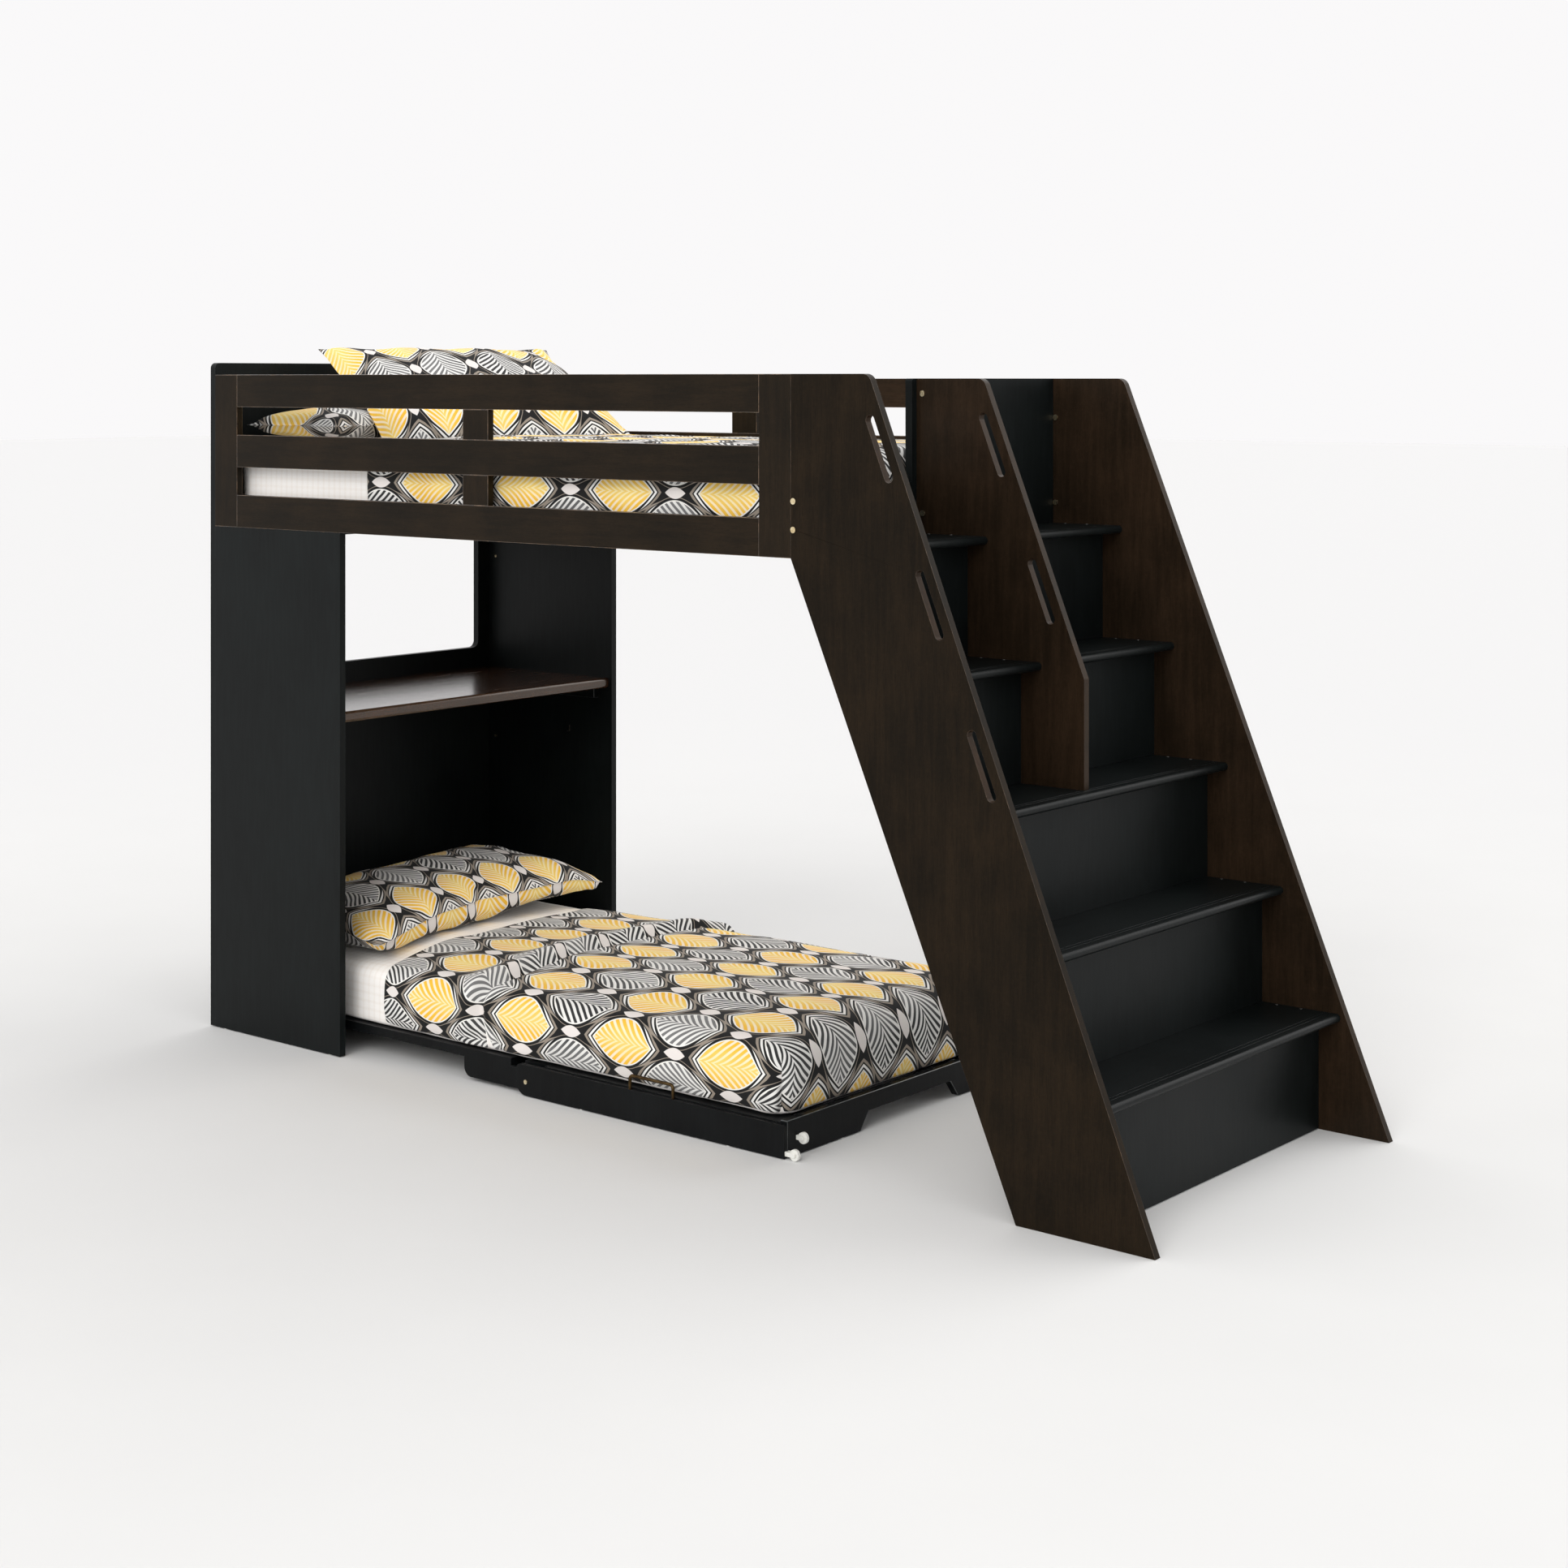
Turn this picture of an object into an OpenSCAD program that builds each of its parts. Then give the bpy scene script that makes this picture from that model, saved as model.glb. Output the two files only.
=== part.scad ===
// Loft bunk bed with a desk tower at the head, a boxed staircase at the foot and
// a separate low folding bed on wheels underneath. Millimetres, +Z up.
// Lengths inside the modules run from the head end (x = 0), the near outer face
// (y = 0) and the floor (z = 0); placed() then centres them over the footprint.

/* [Overall] */
// Length from the head end to the toe of the stairs
overall_l = 2940; // [2930:5:2960]
// Width over the two outer faces
overall_w = 1036; // [1030:2:1050]
// Thickness of every structural board
board_t = 19; // [18.5:0.5:19.5]

/* [Tower] */
// Height of the head end panel
head_h = 1782; // [1770:1:1800]
// Where the tower's side panels end, from the head end
tower_x = 522; // [500:1:530]
// Height of the desk surface
desk_h = 882; // [860:1:900]
// Thickness of the desk board
desk_t = 29; // [24:1:32]
// Height of the window's sill
sill_h = 942; // [930:1:960]
// Height of the window's upper edge
window_top = 1300; // [1290:1:1310]

/* [Guards] */
// Height of the guards' lower edge, where the tower panels end
guard_z = 1344; // [1340:1:1346]
// Height of the near guard's upper edge
guard_top = 1750; // [1745:1:1755]
// Height of the far guard, the divider and the foot panel
inner_top = 1740; // [1736:1:1745]
// Width of a guard rail
rail_w = 86; // [84:1:88]
// Where the guards end and the stair sides begin
guard_x = 2012; // [2008:1:2016]
// Width of a guard stile
stile_w = 91; // [86:1:94]

/* [Stairs] */
// Height of the first tread above the floor
first_rise = 274; // [270:1:276]
// Height from one tread to the next
rise = 276.5; // [275:0.5:277]
// Distance along the floor from one nosing to the next
run = 147; // [145:1:148]
// Place of the first nosing, from the head end
first_nose = 2818; // [2812:1:2822]
// How far a nosing stands proud of its riser
overhang = 55; // [50:1:58]
// Where the top edge of a stair side turns down
stringer_top_x = 2228; // [2224:1:2232]
// Where the back edge of a stair side meets the floor
stringer_heel_x = 2608; // [2600:1:2612]
// Place of the divider's near face across the bed
divider_y = 443; // [440:1:446]

/* [Hand slots] */
// Length of a hand slot
slot_l = 155; // [150:1:160]
// Width of a hand slot
slot_w = 23; // [20:1:25]

/* [Folding bed] */
// Outer width of the folding bed
low_w = 946; // [940:2:950]
// Where the folding bed's frame ends, from the head end
low_end_x = 1956; // [1950:1:1960]
// Place of the fold's pivot, from the head end
pivot_x = 1148; // [1146:1:1150]
// Height of the fold's pivot
pivot_z = 35.5; // [35:0.5:36.5]
// Thickness of the folding bed's side plates
plate_t = 12; // [11:0.5:12]
// Diameter of the wheels
wheel_d = 26; // [25:0.5:27]

/* [Bedding] */
// Height of the upper mattress's top
upper_top = 1560; // [1550:1:1565]
// Height of the lower mattress's top
lower_top = 262; // [258:1:264]
// Thickness of a comforter on top
comforter_t = 23; // [20:1:24]

/* [Hidden] */
$fn = 48;

brown = "#3a2d25";
black = "#1c2022";
pale_wood = "#b99a6b";
brass = "#a8884e";
steel = "#b9bcc0";
white_nylon = "#eeeeea";
sheet = "#e9e4da";
print_cloth = "#8a7a3c";

fit_gap = 0.3;            // clearance of soft and screwed pieces
far_y = overall_w - board_t;
inside_w = overall_w - 2 * board_t;
mid_stile_x = 975;
mid_stile_w = 88;
window_margin = 62;
window_r = 20;
panel_r = 15;             // head panel's top corners
stringer_r = 25;          // top corner of the stair sides and the divider
desk_r = 9;               // desk board's front edge
desk_front = 510;
cleat_w = 19;
cleat_h = 20;
sill_top = 1500;          // top of the low part of the foot panel
entry_y = 425;            // where the foot panel rises to full height
foot_x = guard_x - 2;     // head side of the foot panel
foot_face = foot_x + board_t;
glide_t = 2;
ledger_w = 22;
ledger_h = 32;
slat_t = 18;
slats_z = guard_z + ledger_h;
bed_z = slats_z + slat_t;
near_lane = [board_t, divider_y];
far_lane = [divider_y + board_t, far_y];
full_lane = [board_t, far_y];
slope = atan((overall_l - stringer_top_x) / guard_top);
slot_pitch = 327;
top_slot_z = 1589;
slot_inset = 37;          // from the sloping edge, along the floor
divider_inset = 14;       // divider's edge behind the stair sides'
divider_corner_z = 1073;
bolt_r = 3;
bolt_hole_r = 3.3;
screw_r = 2;
screw_hole_r = 2.2;
screw_back = [160, 97];   // from the nosing
screw_in = 8;             // from the side board

low_y0 = (overall_w - low_w) / 2;
low_board_w = 62;         // flat side boards of the folding bed
low_board_z = 58;
low_board_t = 22;
low_bed_z = low_board_z + low_board_t;
seat_end_x = 1083;
seat_plate_x = 920;
seat_plate_z = [10, 61];
seat_plate_past = 25.5;   // from the pivot to the plate's rounded end
back_plate_past = 34;     // the same, for the back's plate
back_board_past = 28;
back_drop = 1.5;          // the back's boards and slats lie this much lower
seat_head_x = 30;
plate_top = 76;
pivot_r = 3;
pivot_gap = 0.05;         // running clearance of pins in bores
hinge_gap = 0.5;          // between the lapped plates
hinge_y0 = low_y0 + plate_t + hinge_gap;
hinge_y1 = hinge_y0 + plate_t;
back_full_x = pivot_x + 52;
mattress_y0 = 72;
mattress_y1 = overall_w - mattress_y0;
fold_gap = 4;
fold_x0 = pivot_x - (lower_top + comforter_t - pivot_z) - fold_gap;
fold_x1 = pivot_x + (low_bed_z - pivot_z) + fold_gap / 2;
wheel_r = wheel_d / 2;
wheel_w = 9;
pin_r = 2;
end_wheel_z = 41;
end_wheel_y = low_y0 + 50;
floor_wheel_y = low_y0 + 10;
floor_wheel_x = low_end_x + 24;
end_wheel_x = low_end_x + 16;
handle_x0 = 1485;
handle_x1 = 1620;
handle_r = 4;
handle_bend = 10;
handle_h = 32;

function tread_z(i) = first_rise + (i - 1) * rise;
function nose_x(i) = first_nose - (i - 1) * run;
function riser_x(i) = nose_x(i) - overhang;
function tread_back(i) = i < 5 ? riser_x(i + 1) - board_t : foot_face;
function lanes(i) = i < 4 ? [full_lane] : [near_lane, far_lane];
function front_x(z) = overall_l - (overall_l - stringer_top_x) * z / guard_top;
function unit(v) = v / norm(v);
function half_angle(p, a, b) = acos(unit(a - p) * unit(b - p)) / 2;
function arc_ends(p, a, b, r) = r == 0 ? [p] :
    let (d = r / tan(half_angle(p, a, b))) [p + unit(a - p) * d, p + unit(b - p) * d];
function arc_centre(p, a, b, r) =
    p + unit(unit(a - p) + unit(b - p)) * r / sin(half_angle(p, a, b));

// ---- Shared shapes -------------------------------------------------------

// Centres the model over its footprint
module placed() {
    translate([-overall_l / 2, -overall_w / 2, 0]) children();
}

// An outline whose convex corners are rounded, each by its own radius
module outline(points, radii) {
    n = len(points);
    polygon([
        for (i = [0:n - 1])
            for (q = arc_ends(points[i], points[(i + n - 1) % n], points[(i + 1) % n], radii[i]))
                q
    ]);
    for (i = [0:n - 1])
        if (radii[i] > 0)
            translate(arc_centre(points[i], points[(i + n - 1) % n], points[(i + 1) % n], radii[i]))
                circle(r = radii[i]);
}

module rectangle(x0, y0, x1, y1, r) {
    outline([[x0, y0], [x1, y0], [x1, y1], [x0, y1]], [r, r, r, r]);
}

// A board that stands along the bed: its outline is drawn in x and z
module side_board(y, t = board_t) {
    translate([0, y + t, 0]) rotate([90, 0, 0]) linear_extrude(t) children();
}

// A board that stands across the bed: its outline is drawn in y and z
module cross_board(x, t = board_t) {
    translate([x, 0, 0]) rotate([90, 0, 90]) linear_extrude(t) children();
}

module box(x0, x1, y0, y1, z0, z1) {
    translate([x0, y0, z0]) cube([x1 - x0, y1 - y0, z1 - z0]);
}

// Keeps a piece and adds its mirror image on the other side of the bed
module both_sides() {
    children();
    translate([0, overall_w, 0]) mirror([0, 1, 0]) children();
}

// Only the mirror image on the far side
module far_side() {
    translate([0, overall_w, 0]) mirror([0, 1, 0]) children();
}

// A round rod or bore along y
module rod_y(x, y0, y1, z, r) {
    translate([x, y0, z]) rotate([-90, 0, 0]) cylinder(r = r, h = y1 - y0);
}

module hand_slot(z, inset) {
    translate([front_x(z) - inset, z]) rotate(slope) {
        square([slot_w, slot_l - slot_w], center = true);
        for (s = [-1, 1])
            translate([0, s * (slot_l - slot_w) / 2]) circle(d = slot_w);
    }
}

// ---- Tower ---------------------------------------------------------------

module head_end_panel() {
    color(black) placed() cross_board(0) difference() {
        outline([[0, glide_t], [overall_w, glide_t], [overall_w, head_h], [0, head_h]],
            [0, 0, panel_r, panel_r]);
        rectangle(window_margin, sill_h, overall_w - window_margin, window_top, window_r);
    }
}

cam_x = 50;
cam_z = [677, 1211];
cam_r = 4;
cam_depth = 9;

module tower_panel() {
    difference() {
        side_board(0) rectangle(board_t, glide_t, tower_x, guard_z, 0);
        for (z = cam_z)
            rod_y(cam_x, board_t - cam_depth - 1, board_t + 1, z, cam_r + fit_gap);
    }
}

module near_tower_panel() {
    color(black) placed() tower_panel();
}

module far_tower_panel() {
    color(black) placed() far_side() tower_panel();
}

module desk_top() {
    color(brown) placed() side_board(board_t, inside_w)
        outline([[board_t, desk_h - desk_t], [desk_front, desk_h - desk_t], [desk_front, desk_h],
                 [board_t, desk_h]],
            [0, desk_r, desk_r, 0]);
}

desk_cleat_h = 30;
desk_cleat_back = 40;     // behind the desk's front edge

module desk_cleats() {
    z1 = desk_h - desk_t;
    z0 = z1 - desk_cleat_h;
    color(black) placed() {
        both_sides() box(board_t, desk_front - desk_cleat_back, board_t, board_t + cleat_w, z0, z1);
        box(board_t, board_t + cleat_w, board_t + cleat_w + fit_gap, far_y - cleat_w - fit_gap, z0, z1);
    }
}

// ---- Guards --------------------------------------------------------------

rail_x0 = board_t + stile_w;
rail_x1 = guard_x - stile_w;
middle_rail_z = guard_z + (guard_top - guard_z - rail_w) / 2;
top_rail_z = guard_top - rail_w;

module guard_rail(z0, z1) {
    side_board(0) rectangle(rail_x0, z0, rail_x1, z1, 0);
}

module near_guard_top_rail() {
    color(brown) placed() guard_rail(top_rail_z, guard_top);
}

module near_guard_middle_rail() {
    color(brown) placed() guard_rail(middle_rail_z, middle_rail_z + rail_w);
}

module near_guard_bottom_rail() {
    color(brown) placed() guard_rail(guard_z, guard_z + rail_w);
}

module near_guard_left_stile() {
    color(brown) placed() side_board(0) rectangle(board_t, guard_z, rail_x0, guard_top, 0);
}

module near_guard_right_stile() {
    color(brown) placed() side_board(0) rectangle(rail_x1, guard_z, guard_x, guard_top, 0);
}

module far_guard_rails() {
    color(brown) placed() far_side() {
        guard_rail(guard_z, guard_z + rail_w);
        guard_rail(middle_rail_z, middle_rail_z + rail_w);
        guard_rail(top_rail_z, inner_top);
    }
}

module far_guard_stiles() {
    color(brown) placed() far_side() {
        side_board(0) rectangle(board_t, guard_z, rail_x0, inner_top, 0);
        side_board(0) rectangle(rail_x1, guard_z, guard_x, inner_top, 0);
    }
}

module guard_middle_posts() {
    color(brown) placed() both_sides()
        for (z = [[guard_z + rail_w, middle_rail_z], [middle_rail_z + rail_w, top_rail_z]])
            side_board(0) rectangle(mid_stile_x, z[0], mid_stile_x + mid_stile_w, z[1], 0);
}

// ---- Foot end ------------------------------------------------------------

module foot_rail() {
    color(black) placed()
        box(foot_x - ledger_w, foot_x, board_t + ledger_w, far_y - ledger_w, guard_z, slats_z);
}

side_bolt_z = [1407, 1470];
side_bolt_x = foot_x + board_t / 2;
side_bolt_l = 30;

module foot_end_panel() {
    color(black) placed() difference() {
        cross_board(foot_x) outline(
            [[board_t, guard_z], [far_y, guard_z], [far_y, inner_top], [entry_y, inner_top],
             [entry_y, sill_top], [board_t, sill_top]],
            [0, 0, 0, 6, 0, 0]);
        for (z = side_bolt_z)
            rod_y(side_bolt_x, board_t - 1, board_t + side_bolt_l + 1, z, bolt_hole_r);
    }
}

// ---- Stair sides ---------------------------------------------------------

far_bolt_x = 2036;
far_bolt_z = [1431, 1643];
divider_bolt_x = 2046;
divider_bolt_z = [1427, 1705];
divider_cleat_w = 34;
divider_cleat_drop = 10;

module stringer_outline(top) {
    outline([[overall_l, 0], [front_x(top), top], [guard_x, top], [guard_x, guard_z], [stringer_heel_x, 0]],
        [0, stringer_r, 0, 0, 0]);
}

module near_stringer() {
    color(brown) placed() difference() {
        side_board(0) difference() {
            stringer_outline(guard_top);
            for (i = [0:2])
                hand_slot(top_slot_z - i * slot_pitch, slot_inset);
        }
        for (z = side_bolt_z)
            rod_y(side_bolt_x, -1, board_t + 1, z, bolt_hole_r);
    }
}

module far_stringer() {
    color(brown) placed() difference() {
        side_board(far_y) stringer_outline(inner_top);
        for (z = far_bolt_z)
            rod_y(far_bolt_x, far_y - 1, overall_w + 1, z, bolt_hole_r);
    }
}

module stair_divider() {
    front_top = front_x(inner_top) - divider_inset;
    front_low = front_x(divider_corner_z) - divider_inset;
    color(brown) placed() difference() {
        side_board(divider_y) difference() {
            outline([[foot_face, guard_z], [riser_x(4) - 2 * board_t, tread_z(3)], [front_low, tread_z(3)],
                     [front_low, divider_corner_z], [front_top, inner_top], [foot_face, inner_top]],
                [0, 0, 0, 8, stringer_r, 0]);
            for (i = [0:1])
                hand_slot(top_slot_z - i * slot_pitch, slot_inset + divider_inset);
        }
        for (z = divider_bolt_z)
            rod_y(divider_bolt_x, divider_y - 1, divider_y + board_t + 1, z, bolt_hole_r);
    }
}

// ---- Steps ---------------------------------------------------------------

groove_w = 2;
groove_d = 1.2;
groove_back = [26, 38];
groove_in = 4;            // the grooves stop short of the side boards
screw_head_r = 3.6;
screw_head_t = 0.6;
screw_bite = 16;          // into the ledge under the tread
cleat_play = 2;           // from a ledge's ends to the risers

// y of the two screws' line at each side of a lane
function screw_lines(lane) = [lane[0] + screw_in, lane[1] - screw_in];

module tread(i) {
    r = board_t / 2;
    top = tread_z(i);
    color(black) placed() for (lane = lanes(i)) difference() {
        union() {
            box(tread_back(i), nose_x(i) - r, lane[0], lane[1], top - board_t, top);
            rod_y(nose_x(i) - r, lane[0], lane[1], top - r, r);
        }
        for (back = groove_back)
            box(nose_x(i) - back, nose_x(i) - back + groove_w, lane[0] + groove_in, lane[1] - groove_in,
                top - groove_d, top + 1);
        for (y = screw_lines(lane), back = screw_back)
            translate([nose_x(i) - back, y, top - board_t - 1]) cylinder(r = screw_hole_r, h = board_t + 2);
    }
}

module tread_1() { tread(1); }
module tread_2() { tread(2); }
module tread_3() { tread(3); }
module tread_4() { tread(4); }
module tread_5() { tread(5); }

module riser(i) {
    z0 = i == 1 ? glide_t : tread_z(i - 1);
    color(black) placed() for (lane = lanes(i))
        box(riser_x(i) - board_t, riser_x(i), lane[0], lane[1], z0, tread_z(i) - board_t);
}

module riser_1() { riser(1); }
module riser_2() { riser(2); }
module riser_3() { riser(3); }
module riser_4() { riser(4); }
module riser_5() { riser(5); }

// Ledges that carry the treads' ends, and the block that holds the divider
module stair_cleats() {
    color(black) placed() {
        for (i = [1:5], lane = lanes(i), side = [0, 1]) {
            y0 = side == 0 ? lane[0] : lane[1] - cleat_w;
            x0 = tread_back(i) + cleat_play;
            z1 = tread_z(i) - board_t;
            difference() {
                box(x0, riser_x(i) - board_t - cleat_play, y0, y0 + cleat_w, z1 - cleat_h, z1);
                for (back = screw_back)
                    translate([nose_x(i) - back, screw_lines(lane)[side], z1 - cleat_h - 1])
                        cylinder(r = screw_hole_r, h = cleat_h + 2);
            }
        }
        difference() {
            box(foot_face, foot_face + divider_cleat_w, far_lane[0], far_lane[0] + divider_cleat_w,
                tread_z(5), inner_top - divider_cleat_drop);
            for (z = divider_bolt_z)
                rod_y(divider_bolt_x, far_lane[0] - 1, far_lane[0] + divider_cleat_w + 1, z, bolt_hole_r);
        }
    }
}

// ---- Upper bed base ------------------------------------------------------

slat_count = 13;
slat_w = 75;
slat_first = 30;          // from the head end to the first slat
slat_last = 10;           // from the last slat to the foot panel

module slat_ledgers() {
    color(pale_wood) placed() both_sides()
        box(board_t, foot_x, board_t, board_t + ledger_w, guard_z, slats_z);
}

module upper_slats() {
    pitch = (foot_x - slat_first - slat_w - slat_last) / (slat_count - 1);
    color(pale_wood) placed() for (i = [0:slat_count - 1])
        box(slat_first + i * pitch, slat_first + i * pitch + slat_w, board_t + fit_gap, far_y - fit_gap,
            slats_z, bed_z);
}

// ---- Upper bedding -------------------------------------------------------

mattress_x0 = 40;
mattress_x1 = 1972;
mattress_in = 46;         // from the outer faces
drape_t = 12;
upper_drape_x = 548;
upper_drape_z = bed_z + 20;
mattress_r = 40;
pinch_r = 14;             // radius of a pillow's corners
crown = [0.36, 0.38];     // a pillow's crown, as parts of its width and length

// Pillows: length along y, width along x, and thickness; then centre and turns
flat_pillow = [690, 370, 82];
flat_pillow_at = [243, 412, upper_top + 43];
propped_pillow = [700, 500, 110];
propped_pillow_at = [398, 560, upper_top + 147];
propped_tilt = 25;
propped_turn = -22;
lower_pillow = [880, 500, 142];
lower_pillow_at = [345, 505, lower_top + 75];

// A mattress with rounded upright corners
module mattress(x0, x1, y0, y1, z0, z1, r) {
    translate([0, 0, z0]) linear_extrude(z1 - z0) rectangle(x0, y0, x1, y1, r);
}

// A comforter: a flat top, two sides and, where there is one, a foot side
module comforter(x0, x1, y0, y1, z0, z1, foot) {
    difference() {
        box(x0, x1 + (foot ? drape_t : 0), y0 - drape_t, y1 + drape_t, z0, z1 + comforter_t);
        box(x0 - 1, x1 + (foot ? fit_gap : 1), y0 - fit_gap, y1 + fit_gap, z0 - 1, z1 + fit_gap);
    }
}

// A pillow: a crowned form with four pinched corners
module pillow(size) {
    hull() {
        for (sx = [-1, 1], sy = [-1, 1])
            translate([sx * (size[1] / 2 - pinch_r), sy * (size[0] / 2 - pinch_r), 0])
                sphere(r = pinch_r, $fn = 12);
        scale([size[1] * crown[0], size[0] * crown[1], size[2] / 2]) sphere(r = 1, $fn = 24);
    }
}

module upper_mattress() {
    color(sheet) placed()
        mattress(mattress_x0, mattress_x1, mattress_in, overall_w - mattress_in, bed_z, upper_top,
            mattress_r);
}

module upper_comforter() {
    color(print_cloth) placed()
        comforter(upper_drape_x, mattress_x1, mattress_in, overall_w - mattress_in, upper_drape_z,
            upper_top, true);
}

module upper_pillow_flat() {
    color(print_cloth) placed()
        translate(flat_pillow_at) pillow(flat_pillow);
}

module upper_pillow_propped() {
    color(print_cloth) placed()
        translate(propped_pillow_at) rotate([0, 0, propped_turn]) rotate([0, propped_tilt, 0])
            pillow(propped_pillow);
}

// ---- Fasteners of the loft -----------------------------------------------

bolt_head_r = 7;
bolt_head_t = 2;

module bolt_head(x, y, z) {
    rod_y(x, y, y + bolt_head_t, z, bolt_head_r);
}

module frame_bolts() {
    color(brass) placed() {
        for (z = side_bolt_z) {
            bolt_head(side_bolt_x, -bolt_head_t, z);
            rod_y(side_bolt_x, 0, board_t + side_bolt_l, z, bolt_r);
        }
        for (z = far_bolt_z) {
            bolt_head(far_bolt_x, far_y - bolt_head_t, z);
            rod_y(far_bolt_x, far_y, overall_w, z, bolt_r);
            bolt_head(far_bolt_x, overall_w, z);
        }
        for (z = divider_bolt_z) {
            bolt_head(divider_bolt_x, divider_y - bolt_head_t, z);
            rod_y(divider_bolt_x, divider_y, far_lane[0] + divider_cleat_w, z, bolt_r);
        }
        both_sides() for (z = cam_z)
            rod_y(cam_x, board_t - cam_depth, board_t + 1, z, cam_r);
    }
}

module tread_screws() {
    color(steel) placed() for (i = [1:5], lane = lanes(i), y = screw_lines(lane), back = screw_back)
        translate([nose_x(i) - back, y, tread_z(i)]) {
            cylinder(r = screw_head_r, h = screw_head_t);
            translate([0, 0, -board_t - screw_bite]) cylinder(r = screw_r, h = board_t + screw_bite);
        }
}

tower_glide_x = [60, 480];
head_glide_y = 160;
glide_r = 8;

module floor_glides() {
    color(white_nylon) placed() {
        both_sides() for (x = tower_glide_x)
            translate([x, board_t / 2, 0]) cylinder(r = glide_r, h = glide_t);
        both_sides()
            translate([board_t / 2, head_glide_y, 0]) cylinder(r = glide_r, h = glide_t);
    }
}

// ---- Folding bed: the seat half, which stays flat ------------------------

// Side rail: a flat board, and a deep plate that carries the pivot
module seat_rail() {
    difference() {
        union() {
            box(seat_head_x + board_t, seat_end_x, hinge_y0, hinge_y0 + low_board_w, low_board_z, low_bed_z);
            side_board(hinge_y0, plate_t) outline(
                [[seat_plate_x, seat_plate_z[0]], [pivot_x + seat_plate_past, seat_plate_z[0]],
                 [pivot_x + seat_plate_past, seat_plate_z[1]], [seat_plate_x, seat_plate_z[1]]],
                [24, 25.4, 25.4, 0]);
        }
        rod_y(pivot_x, hinge_y0 - 1, hinge_y1 + 1, pivot_z, bolt_hole_r);
    }
}

module seat_near_rail() {
    color(black) placed() seat_rail();
}

module seat_far_rail() {
    color(black) placed() far_side() seat_rail();
}

// End board with two deep legs and a shallow middle
module end_board(x, y0, y1, leg, taper, arch_z, top) {
    cross_board(x) polygon([
        [y0, glide_t], [y0 + leg, glide_t], [y0 + leg + taper, arch_z], [y1 - leg - taper, arch_z],
        [y1 - leg, glide_t], [y1, glide_t], [y1, top], [y0, top]
    ]);
}

leg_w = 268;
leg_taper = 32;
arch_z = 43;

module seat_end_board() {
    color(black) placed()
        end_board(seat_head_x, hinge_y0, overall_w - hinge_y0, leg_w, leg_taper, arch_z, low_bed_z);
}

seat_slat_count = 8;
back_slat_count = 7;
low_slat_w = 70;
low_slat_t = 16;

module low_slats(x0, x1, count) {
    pitch = (x1 - x0 - low_slat_w) / (count - 1);
    y0 = hinge_y0 + low_board_w;
    for (i = [0:count - 1])
        box(x0 + i * pitch, x0 + i * pitch + low_slat_w, y0, overall_w - y0,
            low_bed_z - low_slat_t, low_bed_z);
}

module seat_slats() {
    color(black) placed() low_slats(seat_head_x + board_t + 40, seat_end_x, seat_slat_count);
}

cut_l = 60;               // length of mattress with round corners that is cut off

module seat_mattress() {
    color(sheet) placed() difference() {
        mattress(mattress_x0, fold_x0 + cut_l, mattress_y0, mattress_y1, low_bed_z + fit_gap, lower_top,
            mattress_r);
        box(fold_x0, fold_x0 + 2 * cut_l, 0, overall_w, 0, 2 * lower_top);
    }
}

lower_drape_x = 632;
drape_z = low_bed_z + 6;

module seat_comforter() {
    color(print_cloth) placed()
        comforter(lower_drape_x, fold_x0, mattress_y0, mattress_y1, drape_z, lower_top, false);
}

// The stretch of mattress and comforter that bends when the back is raised
module fold_bedding() {
    color(print_cloth) placed() {
        box(fold_x0 + 1, fold_x1 - 1, mattress_y0 - drape_t, mattress_y1 + drape_t, drape_z,
            lower_top + comforter_t);
    }
}

module seat_pillow() {
    color(print_cloth) placed()
        translate(lower_pillow_at) pillow(lower_pillow);
}

pivot_head_r = 5.5;
pivot_head_t = 2;
pivot_nut_t = 4;

module pivot_bolts() {
    color(brass) placed() both_sides() {
        rod_y(pivot_x, low_y0 - hinge_gap - pivot_head_t, low_y0 - hinge_gap, pivot_z, pivot_head_r);
        rod_y(pivot_x, low_y0 - hinge_gap, hinge_y1 + 1, pivot_z, pivot_r);
        rod_y(pivot_x, hinge_y1 + 1, hinge_y1 + 1 + pivot_nut_t, pivot_z, pivot_head_r);
    }
}

// ---- Folding bed: the back half, which folds up --------------------------

module back_rail() {
    difference() {
        union() {
            side_board(low_y0, plate_t) outline(
                [[pivot_x - back_plate_past, glide_t], [low_end_x, glide_t],
                 [low_end_x, plate_top], [pivot_x - back_plate_past, plate_top]],
                [33, 0, 3, 14]);
            box(pivot_x - back_board_past, low_end_x - board_t, hinge_y1 + 1, hinge_y0 + low_board_w,
                low_board_z, low_bed_z - back_drop);
            box(back_full_x, low_end_x - board_t, low_y0 + plate_t, hinge_y1 + 1,
                low_board_z, low_bed_z - back_drop);
        }
        rod_y(pivot_x, low_y0 - 1, low_y0 + plate_t + 1, pivot_z, pivot_r + pivot_gap);
    }
}

module back_near_rail() {
    color(black) placed() back_rail();
}

module back_far_rail() {
    color(black) placed() far_side() back_rail();
}

end_top = 84;

module back_end_board() {
    y0 = low_y0 + plate_t;
    color(black) placed()
        end_board(low_end_x - board_t, y0, overall_w - y0, leg_w, leg_taper, arch_z, end_top);
}

module back_slats() {
    color(black) placed() translate([0, 0, -back_drop])
        low_slats(pivot_x - 12, low_end_x - board_t - 50, back_slat_count);
}

back_mattress_x1 = 1928;

module back_mattress() {
    color(sheet) placed() difference() {
        mattress(fold_x1 - cut_l, back_mattress_x1, mattress_y0, mattress_y1, low_bed_z + fit_gap, lower_top,
            mattress_r);
        box(fold_x1 - 2 * cut_l, fold_x1, 0, overall_w, 0, 2 * lower_top);
    }
}

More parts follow.
